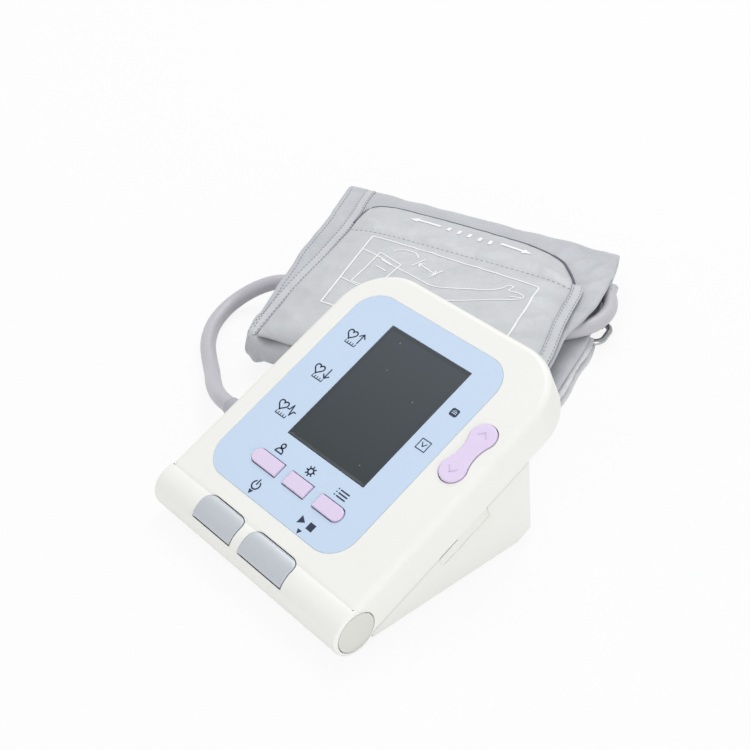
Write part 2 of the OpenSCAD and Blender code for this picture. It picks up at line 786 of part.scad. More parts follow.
module side_port() {
    color("#17181a") on_panel() translate([base_hw - port_d, port_s, port_up])
        rotate([0, 90, 0]) difference() {
            translate([-port_h / 2 + 0.1, -port_w / 2 + 0.1, 0])
                cube([port_h - 0.2, port_w - 0.2, port_d - recess_d]);
            translate([-port_h / 2 + 0.8, -port_w / 2 + 1, 1.2]) cube([port_h - 1.6, port_w - 2, port_d]);
        }
}

module battery_door() {
    hw = tray_hw + door_lip;
    front = tray_front - door_lip;
    back = base_chamfer_y;
    color("#eceae3") difference() {
        union() {
            translate([-hw, front, foot_h]) cube([2 * hw, back - front, door_t]);
            for (x = [-1, 1]) translate([x > 0 ? hw - 1 : -hw - 0.9, front + 4, foot_h + door_t - 0.9])
                cube([1.9, back - front - 4 - door_travel, 0.9]);
        }
        for (i = [0 : 4]) translate([-8, back - 16 + 2.4 * i, foot_h - 1]) cube([16, 1.1, 1.5]);
    }
}

module cell_places() {
    for (i = [0 : cell_count - 1]) translate([0, tray_back - 0.3 - cell_pitch * (i + 0.5), cell_z])
        rotate([0, i % 2 ? 90 : -90, 0]) children();
}

module battery_cells() {
    color("#7f858c") cell_places() {
        cylinder(r = cell_d / 2, h = cell_len - 1.2, center = true);
        translate([0, 0, cell_len / 2 - 1]) cylinder(r = 2.7, h = 1);
    }
}

module battery_contacts() {
    color("#c8c8c8") cell_places() {
        translate([-5, -4.5, cell_len / 2 + 3.3]) cube([10, 9, 0.5]);
        translate([0, 0, cell_len / 2]) cylinder(r = 2, h = 3.5);
        translate([-5, -4.5, -cell_len / 2 - 3.8]) cube([10, 9, 0.5]);
        translate([0, 0, -cell_len / 2 - 3.4]) difference() {
            cylinder(r = 3.4, h = 3.9);
            translate([0, 0, -1]) cylinder(r = 2.6, h = 6);
        }
    }
}

module case_screws() {
    color("#b9bbbd") screw_places() {
        translate([0, 0, screw_seat[$row] - screw_head_h]) cylinder(r = screw_head_r, h = screw_head_h);
        cylinder_from(screw_seat[$row], screw_r, screw_len);
    }
}

module cylinder_from(z, r, h) {
    translate([0, 0, z]) cylinder(r = r, h = h);
}

module rubber_feet() {
    color("#5a5a5c") foot_places() cylinder(r = foot_r, h = foot_h + foot_seat);
}

module hose_plug() {
    start = -base_hw - 1;
    color("#8f8f97") translate([start, socket_y, socket_z]) rotate([0, -90, 0]) {
        translate([0, 0, -wall - 1]) cylinder(r = socket_bore, h = wall + 1);
        cylinder(r = 6, h = 4);
        translate([0, 0, 4]) cylinder(r = 5.2, h = 8);
        translate([0, 0, 12]) cylinder(r1 = 5.2, r2 = hose_d / 2 + 0.5, h = plug_len - 10.3, $fn = 48);
    }
}

module air_hose() {
    path = full_path(hose_route, 2);
    echo(hose_length_mm = path_length(path));
    color("#a9a6b4") tube(path, hose_d / 2, 10);
}

// The band's outline across the arm: a flattened loop with a round near fold and a lower far fold.
// The same walk round gives its outer face, and its inner face when drawn in by one thickness.
function band_loop(t) = concat(
    [for (v = [near_v + near_r : 23 : far_v - 30]) [v, band_z + t]],
    [for (a = [-90 : 36 : 90]) [far_v - far_r - 2.4 * t + max(far_r - t, 0.8) * cos(a),
        band_z + far_r + t * 0.4 + max(far_r - 0.6 * t, 0.8) * sin(a)]],
    [for (p = [[66, -1.4], [59, -0.3], [50, 0], [20, 0], [-10, 0], [-40, 0]]) [p.x, band_top_z + p.y - t]],
    [for (a = [90 : 30 : 240]) [near_v + near_r + (near_r - t) * cos(a),
        band_z + near_r + (near_r - t) * sin(a)]]);

module cuff_frame() {
    translate([cuff_x, cuff_y, 0]) rotate([0, 0, cuff_turn]) children();
}

// Joins two closed walks of equal length, row by row across the cuff, into one hollow sleeve.
module cuff_band() {
    outer = band_loop(0);
    inner = band_loop(band_t);
    n = len(outer);
    points = [for (face = [outer, inner]) for (i = [0 : band_rows]) for (p = face) let (t = i / band_rows,
        w = cuff_left(p.x) * (1 - t) + cuff_right(p.x) * t, sag = 0.7 * sin(900 * t) * max(p.x - 48, 0) / 30)
        [w, p.x, p.y + (p.y > band_z + far_r ? sag : 0)]];
    shell = n * (band_rows + 1);
    outer_walls = [for (i = [0 : band_rows - 1]) for (k = [0 : n - 1]) let (a = i * n, b = a + n,
        m = (k + 1) % n) each [[a + k, b + k, b + m], [a + k, b + m, a + m]]];
    inner_walls = [for (f = outer_walls) [f[2] + shell, f[1] + shell, f[0] + shell]];
    left_end = [for (k = [0 : n - 1]) let (m = (k + 1) % n)
        each [[k, m, shell + m], [k, shell + m, shell + k]]];
    last = band_rows * n;
    right_end = [for (f = left_end) [f[2] + last, f[1] + last, f[0] + last]];
    color("#c3c5c7") cuff_frame() difference() {
        polyhedron(points, concat(outer_walls, inner_walls, left_end, right_end));
        port_hole();
    }
}

module port_hole() {
    translate([port_place().x, port_place().y, hose_z]) cylinder(r = 5.4, h = 12);
}

function port_place() = [hose_end.x - port_reach * cos(port_turn), hose_end.y - port_reach * sin(port_turn)];

// Height of the pocket's crown over its rim, at q across and v along: low at the rim and at the sewn line.
function crown(q, v) = let (r = (v - pocket_near) / pocket_len)
    (1 - pow(abs(2 * q - 1), 5)) * (1 - pow(abs(2 * r - 1), 7))
    * (pocket_h - 1.6 - 1.3 * exp(-pow((v - seam_v) / 3.4, 2)) + 0.5 * sin(540 * q) * sin(360 * r));
pocket_len = pocket_far - pocket_near;
pocket_steps = [0, 0.012, 0.04, 0.111, 0.222, 0.349, 0.476, 0.603, 0.706, 0.778];
pocket_vs = concat([for (t = pocket_steps) pocket_near + t * pocket_len], [seam_v],
    [for (t = [0.889, 0.944, 0.98, 1]) pocket_near + t * pocket_len]);
pocket_qs = [0, 0.02, 0.06, 0.14, 0.24, 0.36, 0.5, 0.64, 0.76, 0.86, 0.94, 0.98, 1];

// The pocket's two side edges, which pull in a little at mid length.
function side_pull(v) = 2.4 * sin(180 * (v - pocket_near) / pocket_len);
function pocket_left(v) = cuff_left(v) + tape_w + 0.6 + side_pull(v);
function pocket_right(v) = cuff_right(v) - tape_w - 0.6 - side_pull(v);

// One skin of the pocket, drawn in from the rim by inset and lowered by drop.
function pocket_skin(inset, drop) = [for (v = pocket_vs) for (q = pocket_qs) let (
    rim = q == 0 || q == 1 || v == pocket_near || v == pocket_far, mid = (pocket_near + pocket_far) / 2)
    [(pocket_left(v) + inset) * (1 - q) + (pocket_right(v) - inset) * q,
        v + (mid - v) * inset / (pocket_far - mid), pocket_z + (rim ? 0 : 1.6 + crown(q, v) - drop)]];

// Closes two grids of the same rows and columns, upper and lower, into one solid.
module grid_solid(upper, lower, rows, cols) {
    n = rows * cols;
    top_faces = [for (i = [0 : rows - 2]) for (k = [0 : cols - 2]) let (a = i * cols + k, b = a + cols)
        each [[a, a + 1, b + 1], [a, b + 1, b]]];
    low_faces = [for (f = top_faces) [f[2] + n, f[1] + n, f[0] + n]];
    rim = concat([for (k = [0 : cols - 1]) k], [for (i = [1 : rows - 1]) i * cols + cols - 1],
        [for (k = [cols - 2 : -1 : 0]) (rows - 1) * cols + k], [for (i = [rows - 2 : -1 : 1]) i * cols]);
    m = len(rim);
    rim_faces = [for (j = [0 : m - 1]) let (a = rim[j], b = rim[(j + 1) % m])
        each [[a, a + n, b + n], [a, b + n, b]]];
    polyhedron(concat(upper, lower), [for (f = concat(top_faces, low_faces, rim_faces)) [f[2], f[1], f[0]]]);
}

module cuff_pocket() {
    color("#c8cacc") cuff_frame() grid_solid(pocket_skin(0, 0), pocket_skin(cloth_t, cloth_t),
        len(pocket_vs), len(pocket_qs));
}

// The bladder lies under the pocket's near part, short of the sewn line.
module cuff_bladder() {
    reach = seam_v - pocket_near - 2 * bladder_inset;
    vs = [for (t = [0 : 0.125 : 1]) pocket_near + bladder_inset + t * reach];
    qs = [for (q = [0 : 0.125 : 1]) q];
    places = [for (v = vs) for (q = qs) let (left = pocket_left(v) + bladder_inset,
        right = pocket_right(v) - bladder_inset) [left * (1 - q) + right * q, v, q == 0 || q == 1 ? 0 : 1]];
    upper = [for (p = places) let (side = (p.x - pocket_left(p.y)) / (pocket_right(p.y) - pocket_left(p.y)),
        z = p.z * (p.y == vs[0] || p.y == vs[8] ? 0 : 1) * (0.9 + crown(side, p.y) - cloth_t - bladder_room))
        [p.x, p.y, pocket_z + max(z, 1)]];
    lower = [for (p = places) [p.x, p.y, pocket_z]];
    color("#8c8c92") cuff_frame() grid_solid(upper, lower, len(vs), len(qs));
}

// Edge tapes: flat tapes folded over the pocket's two side edges.
module cuff_tapes() {
    vs = [for (v = [pocket_near : 14 : pocket_far]) v];
    rows = len(vs);
    color("#b4b6b9") cuff_frame() for (side = [-1, 1]) {
        edge = [for (v = vs) side < 0 ? cuff_left(v) + 0.3 : cuff_right(v) - 0.3 - tape_w];
        upper = [for (i = [0 : rows - 1]) for (x = [0, 0.3, 0.7, 1])
            [edge[i] + x * tape_w, vs[i], pocket_z + (x == 0 || x == 1 ? 2.2 : 3)]];
        lower = [for (i = [0 : rows - 1]) for (x = [0, 0.3, 0.7, 1]) [edge[i] + x * tape_w, vs[i], pocket_z]];
        grid_solid(upper, lower, rows, 4);
    }
}

module bladder_port() {
    color("#8c8c92") cuff_frame() translate([port_place().x, port_place().y, 0]) {
        translate([0, 0, hose_z]) cylinder(r = 4.2, h = pocket_z - hose_z);
        translate([0, 0, hose_z]) sphere(r = 4.2);
        translate([0, 0, hose_z]) rotate([0, 90, port_turn]) cylinder(r = 3.4, h = port_reach);
    }
}

module cuff_ring() {
    left = -64;
    right = 92;
    r = 6;
    color("#c9ccd0") cuff_frame() translate([0, 0, ring_z]) {
        for (v = ring_bars) translate([left + r, v, 0]) rotate([0, 90, 0])
            cylinder(d = ring_wire, h = right - left - 2 * r);
        for (w = [left, right]) translate([w, ring_bars[0] + r, 0]) rotate([-90, 0, 0])
            cylinder(d = ring_wire, h = ring_bars[1] - ring_bars[0] - 2 * r);
        for (i = [0, 1]) for (j = [0, 1])
            translate([i ? right - r : left + r, j ? ring_bars[1] - r : ring_bars[0] + r, 0])
            rotate([0, 0, i ? (j ? 0 : -90) : (j ? 90 : 180)]) rotate_extrude(angle = 90)
            translate([r, 0]) circle(d = ring_wire);
    }
}

// A doubled layer of cloth under the band, ending in a sleeve round one of the ring's bars.
module under_layer(v0, v1, bar) {
    corners = [[cuff_left(v0) + 3, v0], [cuff_right(v0) + 1, v0],
        [cuff_right(v1) + 1, v1], [cuff_left(v1) + 3, v1]];
    cuff_frame() difference() {
        union() {
            linear_extrude(layer_h) polygon(corners);
            translate([cuff_left(bar) + 12, bar, loop_r]) rotate([0, 90, 0])
                cylinder(r = loop_r, h = cuff_right(bar) - cuff_left(bar) - 20);
        }
        translate([-100, bar, ring_z]) rotate([0, 90, 0]) cylinder(d = ring_wire + 0.5, h = 220);
    }
}

module loop_patch() {
    color("#a9acb0") under_layer(far_v - 12, ring_bars[1] + 0.6, ring_bars[1]);
}

module hook_patch() {
    color("#a9acb0") under_layer(near_v + 18, ring_bars[0] - 0.6, ring_bars[0]);
}

front_cover();
rear_housing();
left_roll_plug();
right_roll_plug();
panel_overlay();
display_window();
display_glass();
display_holder();
contact_strips();
left_key();
middle_key();
right_key();
rocker_key();
power_button();
start_button();
main_board();
board_chips();
key_switches();
buzzer();
pressure_sensor();
board_screws();
button_board();
button_switches();
pump_motor();
pump_head();
release_valve();
air_manifold();
air_tubes();
air_socket();
side_port();
battery_door();
battery_cells();
battery_contacts();
case_screws();
rubber_feet();
hose_plug();
air_hose();
cuff_band();
cuff_pocket();
cuff_tapes();
cuff_bladder();
bladder_port();
cuff_ring();
loop_patch();
hook_patch();
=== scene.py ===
import math

import bmesh
import bpy
import numpy as np
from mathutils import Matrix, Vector
from mathutils.bvhtree import BVHTree


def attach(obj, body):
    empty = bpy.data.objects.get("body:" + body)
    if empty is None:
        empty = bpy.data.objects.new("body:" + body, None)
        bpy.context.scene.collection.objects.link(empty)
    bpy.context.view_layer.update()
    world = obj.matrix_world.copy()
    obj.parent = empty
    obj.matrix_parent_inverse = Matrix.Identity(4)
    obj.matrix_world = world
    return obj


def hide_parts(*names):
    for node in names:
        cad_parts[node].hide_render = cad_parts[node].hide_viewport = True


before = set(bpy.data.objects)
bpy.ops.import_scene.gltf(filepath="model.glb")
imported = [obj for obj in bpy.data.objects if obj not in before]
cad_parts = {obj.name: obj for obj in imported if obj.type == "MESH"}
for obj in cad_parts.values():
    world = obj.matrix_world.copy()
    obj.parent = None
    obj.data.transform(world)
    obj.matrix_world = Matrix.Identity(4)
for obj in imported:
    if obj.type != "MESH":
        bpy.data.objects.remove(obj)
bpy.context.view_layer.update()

# The camera stands to the right of the case and above it, where the photographer stood.
# A long lens keeps the case's far edges nearly parallel.
bpy.ops.object.select_all(action="DESELECT")
bpy.ops.object.camera_add(
    location=(0.31316, -0.27072, 0.36515),
    rotation=(math.radians(54.467), 0, math.radians(48.226)),
)
camera = bpy.context.object
camera.name = "camera"
camera.data.lens = 65.2
bpy.context.scene.camera = camera
bpy.context.scene.view_settings.view_transform = "Standard"


# A white table and soft lamps, as in a light tent: a broad key from behind on the left, and
# weaker ones in front and on the right. The table is white to the camera, with faint shadows.
def add_node(tree, kind, inputs=(), **settings):
    """One shader node. An input that is a socket is linked, and any other is set."""
    made = tree.nodes.new("ShaderNode" + kind)
    for label, value in settings.items():
        setattr(made, label, value)
    for label, value in dict(inputs).items():
        if isinstance(value, bpy.types.NodeSocket):
            tree.links.new(value, made.inputs[label])
        else:
            made.inputs[label].default_value = value
    return made


def maths(tree, operation, first, second):
    """The output of a maths node."""
    return add_node(tree, "Math", {0: first, 1: second}, operation=operation).outputs[0]


def empty_tree(owner):
    """The node tree of a new material or world, with nothing in it."""
    owner.use_nodes = True
    owner.node_tree.nodes.clear()
    return owner.node_tree


bpy.ops.mesh.primitive_plane_add(size=40)
table = bpy.context.object
table.name = "table_top"
table_white = bpy.data.materials.new("table_white")
tree = empty_tree(table_white)
seen = add_node(tree, "LightPath").outputs
straight = maths(tree, "MAXIMUM", seen["Is Camera Ray"], seen["Is Glossy Ray"])
share = maths(tree, "MULTIPLY", straight, 0.88)
board = add_node(tree, "BsdfDiffuse", {"Color": (0.84, 0.84, 0.84, 1)}).outputs[0]
white = add_node(tree, "Emission", {"Color": (1, 1, 1, 1), "Strength": 1.0}).outputs[0]
mixed = add_node(tree, "MixShader", {0: share, 1: board, 2: white}).outputs[0]
add_node(tree, "OutputMaterial", {"Surface": mixed})
table.data.materials.append(table_white)

world = bpy.data.worlds.new("tent")
bpy.context.scene.world = world
tree = empty_tree(world)
straight = add_node(tree, "LightPath").outputs["Is Camera Ray"]
lit = add_node(tree, "Background", {"Color": (0.97, 0.98, 1, 1), "Strength": 0.62}).outputs[0]
shown = add_node(tree, "Background", {"Color": (1, 1, 1, 1), "Strength": 1.0}).outputs[0]
mixed = add_node(tree, "MixShader", {0: straight, 1: lit, 2: shown}).outputs[0]
add_node(tree, "OutputWorld", {"Surface": mixed})

for name, place, aim, size, power in (
    ("key_lamp", (-0.45, 0.75, 1.25), (0, 0.05, 0), 0.9, 9.0),
    ("front_lamp", (0.15, -1.15, 0.9), (0, 0, 0.02), 0.9, 3.2),
    ("side_lamp", (1.3, -0.3, 0.36), (0, 0, 0.04), 0.8, 4.6),
):
    bpy.ops.object.light_add(type="AREA", location=place)
    lamp = bpy.context.object
    lamp.name = name
    lamp.data.size = size
    lamp.data.energy = power
    toward = Vector(aim) - Vector(place)
    lamp.rotation_euler = toward.to_track_quat("-Z", "Y").to_euler()


# Most finishes are made with a surface group, which gives the colour, the roughness and the
# height. Colours are written as they look on a screen, from 0 to 255.
def srgb(red, green, blue):
    """A screen colour as Blender's linear values."""
    steps = [v / 255 for v in (red, green, blue)]
    return tuple(v / 12.92 if v < 0.04045 else ((v + 0.055) / 1.055) ** 2.4 for v in steps) + (1,)


def object_place(tree):
    """Where a point of the surface is, in metres."""
    return add_node(tree, "TexCoord").outputs["Object"]


def noise(tree, place, scale, detail, **more):
    """The value of a noise texture."""
    values = {"Vector": place, "Scale": scale, "Detail": detail, **more}
    return add_node(tree, "TexNoise", values).outputs["Fac"]


def remap(tree, value, low, high, to_low, to_high):
    """A value moved from one range to another, and kept inside it."""
    values = {"Value": value, 1: low, 2: high, 3: to_low, 4: to_high}
    return add_node(tree, "MapRange", values).outputs[0]


def mix_colours(tree, share, first, second):
    """The output of a colour mix between two colours or sockets."""
    return add_node(tree, "Mix", {0: share, 6: first, 7: second}, data_type="RGBA").outputs[2]


def new_group(name, *numbers):
    """A surface group that takes a colour, a shade and some numbers, with its ends."""
    group = bpy.data.node_groups.new(name, "ShaderNodeTree")
    for label in ("Color", "Shade", *numbers):
        kind = "NodeSocketFloat" if label in numbers else "NodeSocketColor"
        group.interface.new_socket(label, in_out="INPUT", socket_type=kind)
    for label in ("Color", "Roughness", "Height"):
        kind = "NodeSocketColor" if label == "Color" else "NodeSocketFloat"
        group.interface.new_socket(label, in_out="OUTPUT", socket_type=kind)
    inside = group.nodes.new("NodeGroupInput").outputs
    return group, inside, group.nodes.new("NodeGroupOutput").inputs


def close_group(tree, inside, outside, share, roughness, height):
    """Ends a surface group, whose colour goes over to its shade by a share."""
    tree.links.new(mix_colours(tree, share, inside["Color"], inside["Shade"]), outside["Color"])
    tree.links.new(roughness, outside["Roughness"])
    tree.links.new(height, outside["Height"])


def new_finish(name):
    """A new material with its node tree and its shader."""
    made = bpy.data.materials.new(name)
    made.use_nodes = True
    return made, made.node_tree, made.node_tree.nodes["Principled BSDF"]


def surfaced(name, group, colour, shade, numbers, strength, depth, **plain):
    """A finish made with a surface group, and bumped by the group's height."""
    made, tree, shader = new_finish(name)
    values = {"Color": srgb(*colour), "Shade": srgb(*shade), **numbers}
    surface = add_node(tree, "Group", values, node_tree=group).outputs
    relief = {"Height": surface["Height"], "Strength": strength, "Distance": depth}
    tree.links.new(surface["Color"], shader.inputs["Base Color"])
    tree.links.new(surface["Roughness"], shader.inputs["Roughness"])
    tree.links.new(add_node(tree, "Bump", relief).outputs[0], shader.inputs["Normal"])
    for label, value in plain.items():
        shader.inputs[label.replace("_", " ")].default_value = value
    return made


# Moulded plastic and rubber: a fine spark-eroded grain, faint cloudiness and handling marks.
moulded_group, inside, outside = new_group("moulded_surface", "Roughness", "Grain Scale")
tree = moulded_group
place = object_place(tree)
grain = noise(tree, place, inside["Grain Scale"], 3.0)
cloud = remap(tree, noise(tree, place, 38.0, 4.0), 0.35, 0.75, 0.0, 0.35)
marks = remap(tree, noise(tree, place, 190.0, 6.0), 0.3, 0.7, -0.05, 0.06)
close_group(tree, inside, outside, cloud, maths(tree, "ADD", inside["Roughness"], marks), grain)


def moulded(name, colour, shade, roughness=0.42, scale=3000.0, depth=0.00002):
    """A plastic or rubber finish made with the moulded_surface group."""
    numbers = {"Roughness": roughness, "Grain Scale": scale}
    return surfaced(name, moulded_group, colour, shade, numbers, 0.5, depth)


def coat(node, finish):
    """Gives a CAD part that keeps its shape its material."""
    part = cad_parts[node]
    part.data.materials.clear()
    part.data.materials.append(finish)
    return part


def dress(piece, finish, slot, body, *nodes):
    """Gives a finished piece its material and its body, and hides the CAD nodes it stands for. The
    slot is not used.
    """
    piece.data.materials.clear()
    piece.data.materials.append(finish)
    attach(piece, body)
    if nodes:
        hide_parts(*nodes)


def placed(name, data):
    """A new object in the scene."""
    made = bpy.data.objects.new(name, data)
    bpy.context.scene.collection.objects.link(made)
    return made


def mesh_piece(name, spots, faces):
    """A new object made of points and faces."""
    mesh = bpy.data.meshes.new(name)
    mesh.from_pydata(spots, [], faces)
    return placed(name, mesh)


# The air hose is one length of grey plastic tube, 7.4 mm thick. It lies on the table beside the
# case, goes into the folded cuff on its left and ends on the bladder's port.
hose_route = [
    (-0.076, -0.006, 0.0155), (-0.084, -0.005, 0.0146), (-0.093, -0.0015, 0.012),
    (-0.103, 0.004, 0.0086), (-0.114, 0.011, 0.0054), (-0.126, 0.018, 0.0041),
    (-0.137, 0.0255, 0.0039), (-0.147, 0.036, 0.0039), (-0.1535, 0.048, 0.0044),
    (-0.1545, 0.058, 0.0066), (-0.1515, 0.0665, 0.010), (-0.146, 0.0745, 0.0126),
    (-0.138, 0.0815, 0.013), (-0.128, 0.087, 0.013), (-0.116, 0.0915, 0.013),
    (-0.104, 0.095, 0.013), (-0.090, 0.098, 0.013), (-0.077, 0.103, 0.013),
    (-0.064, 0.110, 0.013), (-0.051, 0.119, 0.013), (-0.038, 0.129, 0.013),
    (-0.0265, 0.139, 0.013), (-0.019, 0.151, 0.013), (-0.0165, 0.164, 0.013),
    (-0.020, 0.177, 0.013), (-0.029, 0.187, 0.013), (-0.0415, 0.192, 0.013),
    (-0.055, 0.191, 0.013), (-0.0655, 0.1855, 0.013), (-0.0732, 0.1775, 0.013),
]
hose_line = bpy.data.curves.new("air_hose_line", "CURVE")
hose_line.dimensions = "3D"
hose_line.bevel_depth = 0.0037
hose_line.bevel_resolution = 7
hose_line.resolution_u = 6
hose_line.use_fill_caps = True
run = hose_line.splines.new("BEZIER")
run.bezier_points.add(len(hose_route) - 1)
for i, knot in enumerate(run.bezier_points):
    before = Vector(hose_route[max(i - 1, 0)])
    after = Vector(hose_route[min(i + 1, len(hose_route) - 1)])
    knot.co = hose_route[i]
    knot.handle_left = knot.co - (after - before) / 6
    knot.handle_right = knot.co + (after - before) / 6
air_hose = placed("air_hose_tube", hose_line)
hose_plastic = moulded("hose_plastic", (197, 196, 202), (186, 185, 192), 0.38, 900.0, 0.00003)
dress(air_hose, hose_plastic, "hose_grey", "case", "air_hose")
plug_grey = moulded("plug_grey_plastic", (184, 183, 190), (174, 173, 181), 0.4)
hose_plug = coat("hose_plug", plug_grey)


# The front cover is one white moulding: the sloping slab with its rounded edge, and the round
# roll along its front. It is open behind, and cut out for the overlay, the window and the keys.
tiny = 0.00002
weld = 0.00001
half_width = 0.056
tilt = math.radians(24.8)
crease = (0, -0.0489, 0.0216)
roll_centre = (0, -0.0497, 0.0105)
roll_radius = 0.0102
sideways = (0, math.pi / 2, 0)
push_angle = math.radians(30)
key_row = 0.0222
rocker_x, rocker_y = 0.045, 0.0702


def take(piece):
    """Makes one object the only one selected, and the active one."""
    bpy.ops.object.select_all(action="DESELECT")
    piece.select_set(True)
    bpy.context.view_layer.objects.active = piece
    return piece


def keep_place(piece, name=None):
    """Puts the object at the origin, with its place in its mesh."""
    take(piece)
    bpy.ops.object.transform_apply(location=True, rotation=True, scale=True)
    if name:
        piece.name = name
    return piece


def whole(piece):
    """Opens a piece in edit mode with all of its mesh selected."""
    take(piece)
    bpy.ops.object.mode_set(mode="EDIT")
    bpy.ops.mesh.select_all(action="SELECT")


def face_outward(piece):
    """Turns every face of a closed mesh outward."""
    whole(piece)
    bpy.ops.mesh.normals_make_consistent(inside=False)
    bpy.ops.object.mode_set(mode="OBJECT")


def pull_up(piece, height):
    """Gives a flat mesh its height."""
    whole(piece)
    bpy.ops.mesh.extrude_region_move(TRANSFORM_OT_translate={"value": (0, 0, height)})
    bpy.ops.object.mode_set(mode="OBJECT")


def merge_flats(piece, angle):
    """Welds doubled points, and takes out the edges that lie in a flat face."""
    whole(piece)
    bpy.ops.mesh.remove_doubles(threshold=weld)
    bpy.ops.mesh.dissolve_limited(angle_limit=math.radians(angle))
    bpy.ops.object.mode_set(mode="OBJECT")


def join(pieces, name):
    """Joins some pieces into the first one."""
    take(pieces[0])
    for piece in pieces:
        piece.select_set(True)
    bpy.ops.object.join()
    pieces[0].name = name
    return pieces[0]


def block(name, low, high):
    """A box between two corners."""
    bpy.ops.object.select_all(action="DESELECT")
    bpy.ops.mesh.primitive_cube_add(
        size=1,
        location=[(a + b) / 2 for a, b in zip(low, high)],
        scale=[b - a for a, b in zip(low, high)],
    )
    return keep_place(bpy.context.object, name)


def rod(name, radius, length, centre, turn=(0, 0, 0), sides=96):
    """A cylinder about its centre, standing up until it is turned."""
    bpy.ops.object.select_all(action="DESELECT")
    bpy.ops.mesh.primitive_cylinder_add(
        vertices=sides, radius=radius, depth=length, location=centre, rotation=turn
    )
    return keep_place(bpy.context.object, name)


def pick(piece, kind, wanted):
    """Selects in edit mode the edges or faces that a test of their points holds for."""
    take(piece)
    bpy.ops.object.mode_set(mode="EDIT")
    bpy.ops.mesh.select_mode(type=kind)
    bpy.ops.mesh.select_all(action="DESELECT")
    shape = bmesh.from_edit_mesh(piece.data)
    for part in {"VERT": shape.verts, "EDGE": shape.edges, "FACE": shape.faces}[kind]:
        corners = [part.co] if kind == "VERT" else [v.co for v in part.verts]
        part.select_set(bool(wanted(corners)))
    shape.select_flush_mode()
    bmesh.update_edit_mesh(piece.data)


def round_edges(piece, wanted, radius, segments):
    """Rounds the edges that the test holds for."""
    pick(piece, "EDGE", wanted)
    bpy.ops.mesh.bevel(
        offset=radius, segments=segments, profile=0.5, affect="EDGES", clamp_overlap=True
    )
    bpy.ops.object.mode_set(mode="OBJECT")
    return piece


def upright(corners):
    """Holds for an edge square to the face that the piece is drawn on."""
    return (corners[0].xy - corners[1].xy).length < tiny


def at_height(z):
    return lambda corners: all(abs(c.z - z) < tiny for c in corners)


def combine(piece, tool, operation):
    """Joins, cuts or crosses a piece with a tool, which is used up."""
    take(piece)
    step = piece.modifiers.new("step", "BOOLEAN")
    step.operation = operation
    step.object = tool
    step.solver = "EXACT"
    bpy.ops.object.modifier_apply(modifier=step.name)
    bpy.data.objects.remove(tool)
    return piece


def cut(piece, tool):
    """Cuts a tool out of a piece."""
    return combine(piece, tool, "DIFFERENCE")


def apply_step(piece, kind, **settings):
    """Adds one modifier with its settings and applies it."""
    take(piece)
    step = piece.modifiers.new("step", kind)
    for label, value in settings.items():
        setattr(step, label, value)
    bpy.ops.object.modifier_apply(modifier=step.name)
    return piece


def soften(piece, width, segments=2, limit=38):
    """Breaks the sharp edges, as a mould does, and shades the flats flat and the rounds round."""
    merge_flats(piece, 0.6)
    apply_step(
        piece,
        "BEVEL",
        width=width,
        segments=segments,
        limit_method="ANGLE",
        angle_limit=math.radians(limit),
        use_clamp_overlap=False,
    )
    bpy.ops.object.shade_smooth_by_angle(angle=math.radians(limit))
    return apply_step(piece, "WEIGHTED_NORMAL", weight=100, keep_sharp=True)


def on_panel(piece, lift=0):
    """Lays a piece drawn flat, x across and y up the slope, on the panel or over it."""
    if lift:
        piece.location = (0, 0, lift)
        keep_place(piece)
    piece.rotation_euler = (tilt, 0, 0)
    piece.location = crease
    return keep_place(piece)


def at_roll(x):
    """A place on the roll's axis."""
    return (x, roll_centre[1], roll_centre[2])


def in_roll(piece, x=0):
    """Puts a piece drawn flat in the roll, its z along the buttons' push line."""
    piece.rotation_euler = (push_angle, 0, 0)
    piece.location = at_roll(x)
    return keep_place(piece)


def overlay_block(name, low, high, grow=0.0):
    """The printed overlay's rounded outline, between two heights over the panel."""
    piece = block(name, (-0.0455 - grow, 0.007 - grow, low), (0.0355 + grow, 0.1078 + grow, high))
    return round_edges(piece, upright, 0.012 + grow, 16)


def window_block(name, low, high, grow=0.0):
    """The display window's outline."""
    return block(name, (-0.0235 - grow, 0.0365 - grow, low), (0.0211 + grow, 0.0977 + grow, high))


def key_block(name, x, width, low, high, grow=0.0, ends=()):
    """A key's outline, with a round end on the sides that ends names."""
    half = width / 2 + grow
    tall = 0.0032 + grow
    piece = block(name, (x - half, key_row - tall, low), (x + half, key_row + tall, high))
    for side in ends:
        round_edges(
            piece,
            lambda corners: upright(corners) and abs(corners[0].x - (x + side * half)) < tiny,
            tall * 0.995,
            12,
        )
    return piece


def rocker_block(name, low, high, grow=0.0):
    """The rocker's outline: two round lobes and a waist whose sides run in smoothly."""
    lobe, hollow = 0.0055 + grow, 0.01547 - grow
    turn = math.atan2(0.0085, 0.01917)
    outline = []
    for i in range(33):
        way = -turn + i / 32 * (math.pi + 2 * turn)
        outline.append((lobe * math.cos(way), 0.0085 + lobe * math.sin(way)))
    for i in range(1, 24):
        way = turn - i / 24 * 2 * turn
        outline.append((-0.01917 + hollow * math.cos(way), hollow * math.sin(way)))
    outline += [(-x, -y) for x, y in outline]
    spots = [(rocker_x + x, rocker_y + y, low) for x, y in outline]
    piece = mesh_piece(name, spots, [tuple(range(len(spots)))])
    pull_up(piece, high - low)
    face_outward(piece)
    return piece


def button_block(name, width, low, high, grow=0.0):
    """A roll button's outline: square at the front, rounded toward the panel."""
    half = width / 2 + grow
    reach = roll_radius * math.sin(math.radians(34)) + grow
    piece = block(name, (-half, -reach, low), (half, reach, high))
    return round_edges(piece, lambda ends: upright(ends) and ends[0].y > 0, 0.004 + grow, 8)


keys = {
    "left_key": (-0.0207, 0.016, (-1,)),
    "middle_key": (-0.0019, 0.0126, ()),
    "right_key": (0.0168, 0.0142, (1,)),
}
roll_buttons = {"power_button": (-0.0185, 0.023), "start_button": (0.0112, 0.0255)}
gap = 0.00035


